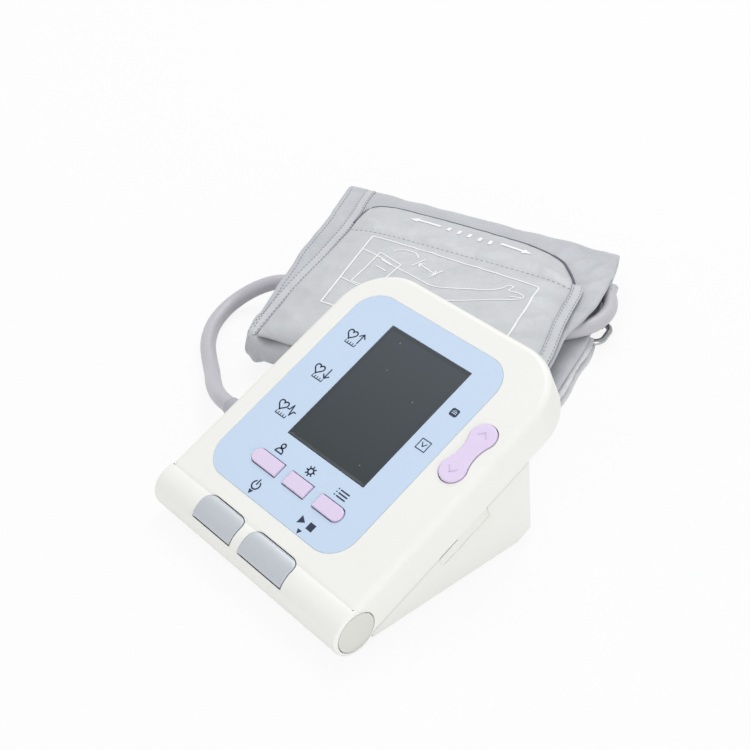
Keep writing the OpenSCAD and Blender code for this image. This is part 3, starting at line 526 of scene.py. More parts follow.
def cut_openings(piece, low):
    """Cuts the openings of the window and of the three keys through a piece."""
    cut(piece, window_block("sight", low, 0.002, 0.0002))
    for x, width, ends in keys.values():
        cut(piece, key_block("slot", x, width, low, 0.002, gap, ends))


cover = block("front_cover_shell", (-half_width, -0.003, -0.0172), (half_width, 0.12, 0))
round_edges(cover, lambda ends: upright(ends) and ends[0].y > 0.1, 0.024, 28)
round_edges(cover, lambda ends: upright(ends) and ends[0].y < 0, 0.0034, 6)
round_edges(cover, at_height(0), 0.003, 8)
hollow = block("hollow", (-0.0538, 0.0016, -0.04), (0.0538, 0.1178, -0.0022))
round_edges(hollow, lambda ends: upright(ends) and ends[0].y > 0.1, 0.0218, 28)
cut(cover, hollow)
cut(cover, overlay_block("seat", -0.0004, 0.002, 0.00012))
cut_openings(cover, -0.006)
cut(cover, rocker_block("slot", -0.006, 0.002, gap))
on_panel(cover)
roll = rod("roll", roll_radius, 2 * half_width, roll_centre, sideways, 160)
round_edges(roll, lambda ends: abs(ends[0].x - ends[1].x) < tiny, 0.0013, 5)
combine(cover, roll, "UNION")
cut(cover, rod("bore", 0.0082, 0.12, roll_centre, sideways))
for side in (-1, 1):
    mouth = rod("mouth", 0.0086, 0.0041, at_roll(side * half_width), sideways)
    cut(cover, mouth)
for x, width in roll_buttons.values():
    cut(cover, in_roll(button_block("slot", width, 0.004, 0.014, gap), x))
soften(cover, 0.00022)
case_white = moulded("case_white_plastic", (245, 245, 240), (241, 240, 233), 0.42, 2600.0, 0.000012)
dress(cover, case_white, "case_white", "case", "front_cover")

# The rear housing is the cover's lower half: a narrower wedge under the slab, with a battery
# tray in its floor. It is screwed to the cover, and its outer edges are softly broken.
housing = placed("rear_housing_shell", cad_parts["rear_housing"].data.copy())
merge_flats(housing, 0.8)
soften(housing, 0.00035, 2, 40)
# A bead runs under the side recess.
bead = rod("recess_bead", 0.0005, 0.0262, (0.0543, 0.0495, -0.0256), (math.pi / 2, 0, 0), 20)
join([housing, on_panel(bead)], "rear_housing_shell")
housing_white = moulded(
    "housing_white_plastic", (244, 244, 239), (239, 238, 231), 0.46, 2200.0, 0.00002
)
dress(housing, housing_white, "housing_white", "case", "rear_housing")
# The wall is painted a touch darker in a narrow line under the overhang, where the two halves
# meet. This is painted shade, standing in for the overhang's shadow.
tree = housing_white.node_tree
base_colour = tree.nodes["Principled BSDF"].inputs["Base Color"]
level = add_node(tree, "Mapping", {"Vector": object_place(tree), "Rotation": (-tilt, 0, 0)})
height = add_node(tree, "SeparateXYZ", {0: level.outputs[0]}).outputs["Z"]
# Painted shade: a mask on the height under the overhang darkens the wall's colour.
shade = remap(tree, height, 0.0188, 0.0199, 0.0, 0.6)
painted_joint_shade = mix_colours(tree, shade, base_colour.links[0].from_socket, srgb(214, 214, 209))
tree.links.new(painted_joint_shade, base_colour)


# The round plugs close the roll's two ends. Each is a grey-white disc that snaps in, and the
# mark that the real one carries is left off.
plug_finish = moulded("plug_grey_white", (226, 225, 219), (218, 216, 210), 0.4, 2600.0, 0.00001)
for side, node in ((-1, "left_roll_plug"), (1, "right_roll_plug")):
    disc = rod(node + "_disc", 0.0083, 0.003, at_roll(side * 0.0545), sideways, 72)
    pick(disc, "FACE", lambda ends: all(abs(c.x - side * half_width) < tiny for c in ends))
    bpy.ops.mesh.inset(thickness=0.0011, depth=0)
    bpy.ops.mesh.inset(thickness=0.0004, depth=-0.00022)
    bpy.ops.object.mode_set(mode="OBJECT")
    soften(disc, 0.0003, 3, 30)
    dress(disc, plug_finish, "plug_grey", "case", node)


# The overlay is a pale blue printed film in a shallow seat of the panel. It is cut out for the
# window and the three keys.
overlay = overlay_block("panel_overlay_film", -0.0004, 0.00002)
cut_openings(overlay, -0.002)
on_panel(overlay)
soften(overlay, 0.00009, 1, 40)
overlay_blue = moulded(
    "overlay_blue_film", (202, 221, 242), (198, 217, 240), 0.5, 5200.0, 0.000006
)
dress(overlay, overlay_blue, "overlay_blue", "case", "panel_overlay")


# The overlay's marks are printed in dark blue ink. Signs stand in for its words: arrows over a
# heart, a person, a wheel, a pile of records, the power sign, and play and stop.
def ink_strokes(name, strokes, width):
    """Flat lines of one width with round ends, drawn in millimetres, each stretch a long oval."""
    out = width / 2
    spots, faces = [], []
    for points in strokes:
        for (x0, y0), (x1, y1) in zip(points, points[1:]):
            way = math.atan2(y1 - y0, x1 - x0)
            oval = [(x1, y1, way - math.pi / 2 + math.pi * i / 6) for i in range(7)]
            oval += [(x0, y0, way + math.pi / 2 + math.pi * i / 6) for i in range(7)]
            faces.append(tuple(range(len(spots), len(spots) + len(oval))))
            for x, y, turn in oval:
                spot = (x + out * math.cos(turn), y + out * math.sin(turn))
                spots.append((spot[0] / 1000, spot[1] / 1000, 0))
    drawn = mesh_piece(name, spots, faces)
    pull_up(drawn, 0.00002)
    return drawn


def ink_shapes(name, shapes):
    """Flat filled shapes, drawn in millimetres."""
    outline = bpy.data.curves.new(name, "CURVE")
    outline.dimensions = "2D"
    outline.fill_mode = "BOTH"
    outline.extrude = 0.00001
    for points in shapes:
        run = outline.splines.new("POLY")
        run.points.add(len(points) - 1)
        for spot, (x, y) in zip(run.points, points):
            spot.co = (x / 1000, y / 1000, 0, 1)
        run.use_cyclic_u = True
    drawn = placed(name, outline)
    take(drawn)
    bpy.ops.object.convert(target="MESH")
    return keep_place(drawn)


def arc(x, y, radius, start, end, steps=16):
    """Points along an arc, in degrees from the right, turning left."""
    return [
        (
            x + radius * math.cos(math.radians(start + (end - start) * i / steps)),
            y + radius * math.sin(math.radians(start + (end - start) * i / steps)),
        )
        for i in range(steps + 1)
    ]


def heart(x, y, size):
    """A heart's outline, closed."""
    points = []
    for i in range(25):
        turn = 2 * math.pi * i / 24
        across = 16 * math.sin(turn) ** 3
        tall = 13 * math.cos(turn) - 5 * math.cos(2 * turn) - 2 * math.cos(3 * turn)
        points.append((x + across * size / 32, y + (tall - math.cos(4 * turn)) * size / 32))
    points[-1] = points[0]
    return points


def box_line(x, y, wide, tall):
    """A rectangle's outline about its middle, closed."""
    w, h = wide / 2, tall / 2
    return [(x - w, y - h), (x + w, y - h), (x + w, y + h), (x - w, y + h), (x - w, y - h)]


thick, thin, solid = [], [], []
for x, y, up in ((-33.4, 85.4, 1), (-32.9, 65.4, -1)):
    thick.append(heart(x - 2.3, y, 4.9))
    thick.append([(x + 2.9, y - 2.4 * up), (x + 2.9, y + 2.4 * up)])
    thick.append([(x + 1.4, y + 0.9 * up), (x + 2.9, y + 2.4 * up), (x + 4.4, y + 0.9 * up)])
thick.append(heart(-35.3, 44.6, 4.9))
thick.append(
    [(-32.3, 44.4), (-31.4, 44.4), (-30.6, 46.9), (-29.5, 42.2), (-28.7, 44.4), (-27.6, 44.4)]
)
for x, y in ((-33.2, 81.0), (-32.7, 61.1), (-32.9, 40.2)):
    thin.append([(x - 2.8, y), (x + 2.8, y)])
    thin += [[(x - 2.8 + 1.4 * i, y), (x - 2.8 + 1.4 * i, y + 1.1)] for i in range(5)]
thick.append(arc(-20, 31.0, 1.0, 0, 360))
thick.append(arc(-20, 27.8, 1.9, 0, 180) + [(-18.1, 27.8)])
thick.append(arc(-1.8, 29.4, 1.25, 0, 360))
for i in range(8):
    way = math.radians(45 * i)
    thick.append(
        [
            (-1.8 + 1.4 * math.cos(way), 29.4 + 1.4 * math.sin(way)),
            (-1.8 + 2.2 * math.cos(way), 29.4 + 2.2 * math.sin(way)),
        ]
    )
for i in range(3):
    thick.append([(14.9, 27.9 + 1.4 * i), (19.3, 27.9 + 1.4 * i)])
    thick.append([(13.6, 27.9 + 1.4 * i), (13.7, 27.9 + 1.4 * i)])
thick.append(arc(-16.4, 12.3, 1.9, 125, 415, 20))
thick.append([(-16.4, 12.6), (-16.4, 15.0)])
solid.append([(10.0, 10.6), (10.0, 14.4), (13.1, 12.5)])
solid.append([(14.9, 10.9), (18.1, 10.9), (18.1, 14.1), (14.9, 14.1)])
for x, y in ((-16.5, 8.9), (13.6, 8.4)):
    solid.append([(x - 1.2, y + 0.9), (x + 1.2, y + 0.9), (x, y - 1.1)])
thin.append(box_line(27.9, 63.1, 4.6, 4.6))
thin.append([(26.8, 64.0), (27.9, 62.4), (29.0, 64.0)])
marks = [
    ink_strokes("marks_thick", thick, 0.62),
    ink_strokes("marks_thin", thin, 0.42),
    ink_shapes("marks_solid", solid),
]
lock = block("lock_mark", (0.0261, 0.0788, -0.00001), (0.0299, 0.0824, 0.00001))
round_edges(lock, upright, 0.0009, 5)
marks.append(lock)
overlay_marks = join(marks, "overlay_marks")
on_panel(overlay_marks, 0.00004)
lock_lines = [arc(28.0, 80.9, 0.7, 0, 180)]
lock_lines += [[(27.0, y), (29.0, y)] for y in (80.9, 80.2)]
lock_sign = ink_strokes("lock_sign", lock_lines, 0.32)
on_panel(lock_sign, 0.00006)
dress(lock_sign, overlay_blue, "overlay_blue", "case")
ink_blue = moulded("overlay_ink", (44, 50, 78), (52, 58, 86), 0.5, 4000.0, 0.000004)
dress(overlay_marks, ink_blue, "overlay_blue", "case")


# The window is a dark lens over the display, with a narrow rim and its face set a little lower.
# The display is off, so it shows dark grey glass with a few specks on it. A painted reflection
# makes the glass lighter toward the back.
glass_top = -0.00006
lens = window_block("display_window_lens", -0.0012, glass_top)
pick(lens, "FACE", at_height(glass_top))
bpy.ops.mesh.inset(thickness=0.0002, depth=0)
bpy.ops.mesh.inset(thickness=0.0011, depth=-0.0007)
bpy.ops.object.mode_set(mode="OBJECT")
on_panel(lens)
soften(lens, 0.00006, 1, 30)
window_dark, tree, shader = new_finish("window_dark_glass")
place = object_place(tree)
depth = add_node(tree, "SeparateXYZ", {0: place}).outputs["Y"]
specks = add_node(tree, "TexVoronoi", {"Vector": place, "Scale": 120.0}).outputs["Distance"]
# Painted reflection: the glass is lighter toward the back of the case, along y.
glass_with_painted_reflection = mix_colours(
    tree, remap(tree, depth, -0.012, 0.042, 0.0, 1.0), srgb(56, 63, 66), srgb(74, 80, 86)
)
dust = remap(tree, specks, 0.03, 0.05, 0.5, 0.0)
glass_with_painted_reflection = mix_colours(tree, dust, glass_with_painted_reflection, srgb(170, 176, 178))
smear = remap(tree, noise(tree, place, 60.0, 5.0), 0.3, 0.7, 0.12, 0.24)
tree.links.new(glass_with_painted_reflection, shader.inputs["Base Color"])
tree.links.new(smear, shader.inputs["Roughness"])
dress(lens, window_dark, "window_dark", "case", "display_window")


# The three keys are soft pink caps that stand a little proud of the overlay, flat on top with a
# narrow chamfer, and round at the outer ends of the row.
key_pink = moulded("key_pink_plastic", (230, 214, 240), (226, 208, 237), 0.42, 2600.0, 0.00001)
key_top = 0.0009
for name, (x, width, ends) in keys.items():
    cap = key_block(name + "_cap", x, width, -0.0032, key_top, -0.0001, ends)
    round_edges(cap, at_height(key_top), 0.0006, 3)
    on_panel(cap)
    soften(cap, 0.00008, 1, 30)
    dress(cap, key_pink, "key_pink", name + "_body", name)


# The rocker is one lilac key with two round lobes, dished for a finger tip. It tilts on a pin,
# and each lobe carries a chevron in low relief.
rocker_top = 0.001
dish_radius = 0.03
dish_depth = 0.00025
rocker = rocker_block("rocker_key_cap", -0.0016, rocker_top)
round_edges(rocker, at_height(rocker_top), 0.0007, 4)
for side in (-1, 1):
    bpy.ops.object.select_all(action="DESELECT")
    bpy.ops.mesh.primitive_uv_sphere_add(
        segments=64,
        ring_count=48,
        radius=dish_radius,
        location=(rocker_x, rocker_y + side * 0.0084, rocker_top + dish_radius - dish_depth),
    )
    cut(rocker, keep_place(bpy.context.object))
on_panel(rocker)
soften(rocker, 0.00008, 1, 30)
rocker_lilac = moulded(
    "rocker_lilac_plastic", (232, 216, 244), (226, 209, 240), 0.4, 2600.0, 0.00001
)
dress(rocker, rocker_lilac, "rocker_lilac", "rocker_key_body", "rocker_key")
chevron_lines = [
    [(43.0, 70.2 + side * 8.0), (45.0, 70.2 + side * 10.0), (47.0, 70.2 + side * 8.0)]
    for side in (-1, 1)
]
chevrons = ink_strokes("rocker_chevrons", chevron_lines, 0.5)
chevrons.scale = (1, 1, 4)
on_panel(chevrons, 0.00082)
chevron_lilac = moulded("chevron_lilac", (214, 195, 231), (210, 190, 228), 0.4, 2600.0, 0.00001)
dress(chevrons, chevron_lilac, "rocker_lilac", "rocker_key_body")


# The two roll buttons are silver-painted caps that follow the roll's curve. They sink along a
# line that leans forward, and a thin dark gap runs round each.
silver_group, inside, outside = new_group("silver_paint")
tree = silver_group
place = object_place(tree)
flakes = add_node(tree, "TexVoronoi", {"Vector": place, "Scale": 7000.0}).outputs["Distance"]
rub = remap(tree, noise(tree, place, 240.0, 4.0), 0.3, 0.7, 0.36, 0.46)
close_group(tree, inside, outside, remap(tree, flakes, 0.1, 0.7, 0.0, 0.8), rub, flakes)
silver, shadow = (214, 218, 223), (200, 205, 211)
button_silver = surfaced(
    "button_silver_paint", silver_group, silver, shadow, {}, 0.4, 0.00001, Metallic=0.35
)
for name, (x, width) in roll_buttons.items():
    cap = button_block(name + "_cap", width, 0.003, 0.0135)
    skin = rod("skin", 0.0106, width + 0.01, (0, 0, 0), sideways, 90)
    cut(skin, rod("core", 0.0062, width + 0.02, (0, 0, 0), sideways))
    combine(cap, skin, "INTERSECT")
    in_roll(cap, x)
    soften(cap, 0.0003, 2, 30)
    dress(cap, button_silver, "button_silver", name + "_body", name)


# The cuff lies folded flat behind the case. Its sleeve is a doubled band of light grey nylon,
# closed at the near and far folds and open at both sides, and its far right corner is creased.
cuff_turn = math.radians(19.4)
cuff_x, cuff_y = -95, 120


def on_cuff(spots):
    """Points given in the cuff's own frame, in millimetres, as places in the scene."""
    spots = np.asarray(spots, dtype=float)
    across, along = spots[:, 0], spots[:, 1]
    return np.stack(
        [
            (cuff_x + across * math.cos(cuff_turn) - along * math.sin(cuff_turn)) / 1000,
            (cuff_y + across * math.sin(cuff_turn) + along * math.cos(cuff_turn)) / 1000,
            spots[:, 2] / 1000,
        ],
        axis=1,
    )


def woven(name, spots, rows, cols, closed=False):
    """A mesh of quads through rows of points, closed round each row where asked."""
    faces = []
    for i in range(rows - 1):
        for k in range(cols if closed else cols - 1):
            a, b = i * cols + k, i * cols + (k + 1) % cols
            faces.append((a, b, b + cols, a + cols))
    piece = mesh_piece(name, [tuple(p) for p in on_cuff(spots)], faces)
    take(piece)
    bpy.ops.object.shade_smooth()
    return piece


def between(value, table):
    """A value read off a table of pairs, in a straight line between them."""
    return np.interp(value, [a for a, b in table], [b for a, b in table])


def creases(across, along, folds):
    """The height of a set of soft folds. Each runs from one point to another, in millimetres."""
    total = np.zeros_like(across, dtype=float)
    for x0, y0, x1, y1, width, height in folds:
        length = math.hypot(x1 - x0, y1 - y0)
        ux, uy = (x1 - x0) / length, (y1 - y0) / length
        run = ((across - x0) * ux + (along - y0) * uy) / length
        off = (across - x0) * -uy + (along - y0) * ux + 0.9 * np.sin(run * 5 + x0)
        ends = np.clip(run * 4, 0, 1) * np.clip((1 - run) * 4, 0, 1)
        total += height * np.exp(-((off / width) ** 2)) * ends * ends * (3 - 2 * ends)
    return total


left_top = [(-84.5, -45.6), (-63.6, -49.4), (-40.3, -54.8), (-17.2, -59.5), (-3.5, -63.0),
            (14, -65.2), (34.2, -68.4), (59.2, -74.2), (80, -80.5)]
left_seam = [(-82.9, -39.6), (-65.8, -41.3), (-41.6, -44.4), (-24.6, -45.8), (-6.6, -46.8),
             (23.8, -49.9), (39.9, -52.6)]
right_seam = [(-82.9, 86.4), (-32.6, 81.4), (-8, 76.8), (20.2, 73.6), (32.5, 70.4)]
right_top = [(-83, 91.0), (-33, 86.6), (-10, 83.4), (0, 84.6), (8, 86.0), (20, 86.6), (40, 85.2),
             (55, 83.2), (79, 77.0)]
near_fold = -83.0


def spline(a, b, c, d, steps):
    """Points of a smooth line from b up to c, with a and d as the knots on either side."""
    return [
        0.5 * (2 * b + (c - a) * t + (2 * a - 5 * b + 4 * c - d) * t * t
               + (3 * b - 3 * c + d - a) * t ** 3)
        for t in np.arange(0, 1, 1 / steps)
    ]


def runs_of(line):
    """How far along a line each of its points is."""
    return np.concatenate([[0], np.cumsum(np.linalg.norm(np.diff(line, axis=0), axis=1))])


def walk_along(line, runs, at):
    """The places on a line that are some way along it."""
    return np.stack([np.interp(at, runs, line[:, 0]), np.interp(at, runs, line[:, 1])], axis=1)


def smooth_walk(knots, count):
    """An even, smooth, closed line through a few points."""
    line = []
    for i in range(len(knots)):
        line += spline(
            *(np.array(knots[(i + k - 1) % len(knots)], dtype=float) for k in range(4)), 14
        )
    line = np.array(line + [line[0]])
    runs = runs_of(line)
    return walk_along(line, runs, np.linspace(0, runs[-1], count, endpoint=False))


def lower_right(along, at):
    """The right end of the cloth under the sleeve's top."""
    return at - 0.05 * along - 0.11 * np.maximum(along, 0)


band_knots = [(-76, 6.3), (-40, 6.1), (0, 6.1), (40, 6.1), (68, 6.2), (75.5, 7.4), (79, 10.6),
             (77.6, 14.6), (73, 17.2), (66, 18.9), (58, 19.9), (48, 20.3), (20, 20.4), (-20, 20.4),
             (-60, 20.3), (-74, 20.0), (-80.4, 17.6), (-83, 13.2), (-81.3, 8.6)]
corner_folds = [
    (70, 38, 84, 70, 2.0, 1.9), (62, 44, 72, 76, 2.2, 1.8), (52, 47, 58, 77, 2.6, 1.2),
    (74, 30, 88, 52, 2.0, 1.7), (40, 50, 44, 76, 3.2, 0.8), (22, 52, 26, 74, 3.6, 0.5),
    (-52, 46, -66, 72, 2.6, 0.9), (-44, 50, -50, 76, 3.0, 0.8), (-25, 52, -28, 76, 4.0, 0.6),
    (-57, 30, -74, 44, 2.4, 0.7), (-54, 10, -70, 16, 3.0, 0.5), (-52, -12, -64, -8, 3.0, 0.5),
    (0, 53, -2, 76, 4.4, 0.6), (-50, -34, -60, -40, 3.0, 0.7), (76, 6, 88, 12, 2.4, 0.7),
    (79, -20, 90, -14, 2.4, 0.6), (-46, -62, -54, -70, 2.4, 0.8),
]
near_folds = [
    (-52, -76, -26, -84, 1.9, 1.6), (-52, -64, -38, -84, 1.8, 1.3), (-30, -66, -22, -86, 2.4, 1.2),
    (-44, -70, -46, -86, 1.8, -1.2), (-34, -72, -36, -86, 1.8, -1.2),
    (-8, -70, -6, -84, 3.0, 0.7), (14, -70, 12, -84, 3.0, 0.7), (38, -70, 40, -84, 3.0, 0.7),
    (62, -70, 60, -84, 3.0, 0.7),
]
profile = smooth_walk(band_knots, 150)
along, up = profile[:, 0], profile[:, 1]
band_rows = 72
slope = np.roll(profile, -1, axis=0) - np.roll(profile, 1, axis=0)
slope /= np.linalg.norm(slope, axis=1)[:, None]
outward = np.stack([slope[:, 1], -slope[:, 0]], axis=1)
upper = np.clip((up - 8) / 9, 0, 1)
start = between(along, left_top) * upper + (-64.6 - 0.22 * along) * (1 - upper)
start += 2.2 * (1 - upper) * (along > 60)
finish = between(along, right_top) * upper + lower_right(along, 89.4) * (1 - upper)
spots = []
for i in range(band_rows):
    t = i / (band_rows - 1)
    across = start * (1 - t) + finish * t
    ripple = creases(across, along, corner_folds) * upper
    ripple += creases(across, along, near_folds) * (along < -60)
    wide = np.sin(across * 0.21 + along * 0.05)
    ripple += 0.35 * wide * np.sin(across * 0.083 + 1.3 + along * 0.02)
    ripple += (0.16 * np.sin(across * 0.16) + 0.1 * np.sin(across * 0.37 + 2)) * np.clip(
        (along - 60) / 14, 0, 1
    )
    ripple = np.minimum(ripple, 2.4) - 0.35
    spots.append(
        np.stack([across, along + outward[:, 0] * ripple, up + outward[:, 1] * ripple], axis=1)
    )
band = woven("cuff_band_sleeve", np.concatenate(spots), band_rows, len(profile), True)
face_outward(band)
apply_step(band, "SOLIDIFY", thickness=0.0021, offset=-1.0, use_even_offset=False)
apply_step(band, "SUBSURF", levels=1, render_levels=1)

# Nylon cloth: a fine plain weave, fine crumples from folding, and a soft sheen.
nylon_group, inside, outside = new_group("nylon_cloth", "Roughness", "Crumple")
tree = nylon_group
place = object_place(tree)
turned = add_node(tree, "Mapping", {"Vector": place, "Rotation": (0, 0, -cuff_turn)}).outputs[0]
waves = {"Vector": turned, "Scale": 620.0, "Distortion": 0.6, "Detail": 1.0}
threads = [
    add_node(tree, "TexWave", waves, wave_type="BANDS", bands_direction=axis).outputs["Fac"]
    for axis in ("X", "Y")
]
weave = maths(tree, "MULTIPLY", *threads)
crumple = noise(tree, place, 150.0, 5.0, Roughness=0.6, Distortion=0.8)
tone = remap(tree, noise(tree, place, 70.0, 3.0), 0.3, 0.7, 0.0, 0.55)
shading = maths(tree, "ADD", tone, maths(tree, "MULTIPLY", weave, 0.18))
wear = remap(tree, crumple, 0.3, 0.7, -0.06, 0.08)
rough = maths(tree, "ADD", inside["Roughness"], wear)
folded = maths(tree, "MULTIPLY", crumple, inside["Crumple"])
height = maths(tree, "ADD", folded, maths(tree, "MULTIPLY", weave, 0.05))
close_group(tree, inside, outside, shading, rough, height)


def nylon(name, colour, shade, roughness=0.46, crumple=1.0, sheen=0.25):
    """A cloth finish made with the nylon_cloth group."""
    numbers = {"Roughness": roughness, "Crumple": crumple}
    gloss = {"Sheen Weight": sheen, "Sheen Roughness": 0.4}
    return surfaced(name, nylon_group, colour, shade, numbers, 0.55, 0.0012, **gloss)


band_nylon = nylon("band_nylon", (196, 198, 202), (180, 182, 187))
dress(band, band_nylon, "cuff_cloth", "case", "cuff_band")


# The pocket is the padded panel sewn on the sleeve's top, with the bladder inside. Its cloth is
# cut a little large, so it is dropped on the bladder as cloth and gathers along its seams.
far_seam = [(0.0, 30.0), (0.004, 40.0), (0.016, 46.4), (0.06, 50.4), (0.13, 52.2), (0.4, 52.2),
            (0.6, 51.2), (0.75, 50.0), (0.86, 46.8), (0.93, 41.5), (0.975, 34.5), (1.0, 27.0)]
cross_seam = 22.4
sleeve_top = 21.2
pocket_cols, near_rows, far_rows = 76, 48, 15


def pocket_spot(q, r):
    """A place on the pocket, from its left seam to its right one and from near to far."""
    edge = float(between(q, far_seam))
    if r <= 1:
        along = near_fold + 3.4 + r * (cross_seam - near_fold - 3.4)
    else:
        along = cross_seam + (r - 1) * (edge - cross_seam)
    left = float(between(along, left_seam + [(55, -54.5)]))
    right = float(between(along, right_seam + [(55, 66)]))
    return left + q * (right - left), along


def bulge(q, r):
    """How high the bladder and the padding hold the cloth up."""
    side = 1 - abs(2 * q - 1) ** 7
    if r <= 1:
        rise = 4.4 * (1 - (1 - min(r / 0.22, 1)) ** 3)
        return side * (rise - 0.9 * math.exp(-(((1 - r) / 0.05) ** 2)))
    t = r - 1
    return side * (3.9 * (1 - t**6) - 0.4 * math.exp(-((t / 0.2) ** 2)))


rows_r = [i / near_rows for i in range(near_rows + 1)]
rows_r += [1 + (i + 1) / far_rows for i in range(far_rows)]
pocket_rows = len(rows_r)
spots, below, pinned = [], [], []
for i, r in enumerate(rows_r):
    for k in range(pocket_cols):
        q = k / (pocket_cols - 1)
        across, along = pocket_spot(q, r)
        lift = bulge(q, r)
        base = sleeve_top if along > -74 else sleeve_top - (-74 - along) * 0.12
        below.append((across, along, base + lift - 0.9))
        edge = k in (0, pocket_cols - 1) or i in (0, pocket_rows - 1)
        seam = i == near_rows and 1 < k < pocket_cols - 2
        if edge or seam:
            pinned.append(i * pocket_cols + k)
        jog = 0.25 * math.sin(k * 2.1 + i * 0.7) + 0.2 * math.sin(k * 0.9 - i * 1.7)
        over = 0 if edge else lift - 0.1 if seam else lift + 0.5 + jog
        spots.append((across, along, base + over))
pocket = woven("cuff_pocket_panel", spots, pocket_rows, pocket_cols)
drape_frames = 26
rest = woven("bladder_form", below, pocket_rows, pocket_cols)
rest.modifiers.new("hold", "COLLISION")
rest.collision.thickness_outer = 0.0005
rest.collision.cloth_friction = 12
sewn = pocket.vertex_groups.new(name="sewn")
sewn.add(pinned, 1.0, "REPLACE")
drape = pocket.modifiers.new("drape", "CLOTH")
for label, value in (
    ("quality", 7),
    ("mass", 0.12),
    ("tension_stiffness", 12),
    ("compression_stiffness", 12),
    ("shear_stiffness", 4),
    ("bending_stiffness", 0.8),
    ("air_damping", 2),
    ("vertex_group_mass", "sewn"),
    ("shrink_min", -0.018),
):
    setattr(drape.settings, label, value)
drape.settings.effector_weights.gravity = 0.3
drape.collision_settings.distance_min = 0.0004
drape.collision_settings.use_self_collision = False
drape.point_cache.frame_start = 1
drape.point_cache.frame_end = drape_frames
for frame_number in range(1, drape_frames + 1):
    bpy.context.scene.frame_set(frame_number)
take(pocket)
bpy.ops.object.modifier_apply(modifier="drape")
bpy.data.objects.remove(rest)
bpy.context.scene.frame_set(1)


def inside_panel(row, col):
    """Holds for a point of the pocket that no seam holds."""
    return 0 < row < pocket_rows - 1 and 0 < col < pocket_cols - 1 and row != near_rows


take(pocket)
bpy.ops.object.mode_set(mode="EDIT")
bpy.ops.mesh.select_all(action="DESELECT")
shape = bmesh.from_edit_mesh(pocket.data)
for point in shape.verts:
    point.select_set(inside_panel(*divmod(point.index, pocket_cols)))
shape.select_flush_mode()
bpy.ops.mesh.vertices_smooth(factor=0.5, repeat=2)
bpy.ops.object.mode_set(mode="OBJECT")

# Larger folds run in from the sewn corners, and the far edge rolls under at its seam.
pocket_folds = [
    (71, 26, 44, 33, 2.4, 1.0), (72, 21, 48, 14, 2.6, 1.1), (74, 10, 56, -4, 2.8, 1.0),
    (76, -6, 60, -22, 3.0, 0.9), (79, -24, 64, -38, 3.0, 0.9), (66, 38, 52, 44, 2.0, 0.7),
    (-48, 32, -34, 27, 2.4, 0.8), (-47, 14, -33, 8, 2.6, 0.7), (-45, -12, -32, -20, 2.8, 0.8),
    (-43, -36, -28, -46, 3.0, 0.9), (-41, -60, -24, -66, 3.0, 0.9), (-10, 26, 8, 31, 3.4, 0.5),
    (20, 27, 36, 33, 3.2, 0.5), (-26, 28, -12, 38, 3.2, 0.5), (-36, -72, 0, -76, 3.0, 0.8),
    (10, -74, 50, -70, 3.0, 0.7),
]
for i in range(1, pocket_rows):
    for k in range(1, pocket_cols - 1):
        point = pocket.data.vertices[i * pocket_cols + k]
        across, along = pocket_spot(k / (pocket_cols - 1), rows_r[i])
        if i < pocket_rows - 1:
            fold = creases(np.array([across]), np.array([along]), pocket_folds)[0]
            swell = 0.12 * math.sin(across * 0.19 + along * 0.11)
            fold += swell * math.sin(along * 0.16 - across * 0.05)
            point.co.z += fold / 1000 * min(i / 4, 1, (pocket_rows - 1 - i) / 3)
        if i >= pocket_rows - 3:
            push = {3: 0.7, 2: 1.4, 1: -0.6}[pocket_rows - i] / 1000
            point.co.x -= push * math.sin(cuff_turn)
            point.co.y += push * math.cos(cuff_turn)
            point.co.z -= 0.0007 if i == pocket_rows - 1 else -0.0003
face_outward(pocket)
if sum(face.normal.z for face in pocket.data.polygons) < 0:
    pocket.data.flip_normals()
apply_step(pocket, "SUBSURF", levels=1, render_levels=1)
apply_step(pocket, "SOLIDIFY", thickness=0.0009, offset=-1.0)
pocket_nylon = nylon("pocket_nylon", (206, 208, 210), (190, 192, 196), 0.42, 0.8, 0.3)
dress(pocket, pocket_nylon, "cuff_cloth", "case", "cuff_pocket")


# The tapes are narrow woven bindings, sewn flat over the pocket's two side seams with a row of
# stitches along each edge.
def cloth_top(pieces):
    """A way to find the height of the top cloth at a place."""
    trees = []
    for piece in pieces:
        mesh = piece.data
        trees.append(
            BVHTree.FromPolygons([v.co for v in mesh.vertices], [p.vertices for p in mesh.polygons])
        )

    def height(x, y):
        found = [t.ray_cast(Vector((x, y, 0.08)), Vector((0, 0, -1)))[0] for t in trees]
        return max([spot.z for spot in found if spot is not None] or [0.02])

    return height


top_of = cloth_top([band, pocket])


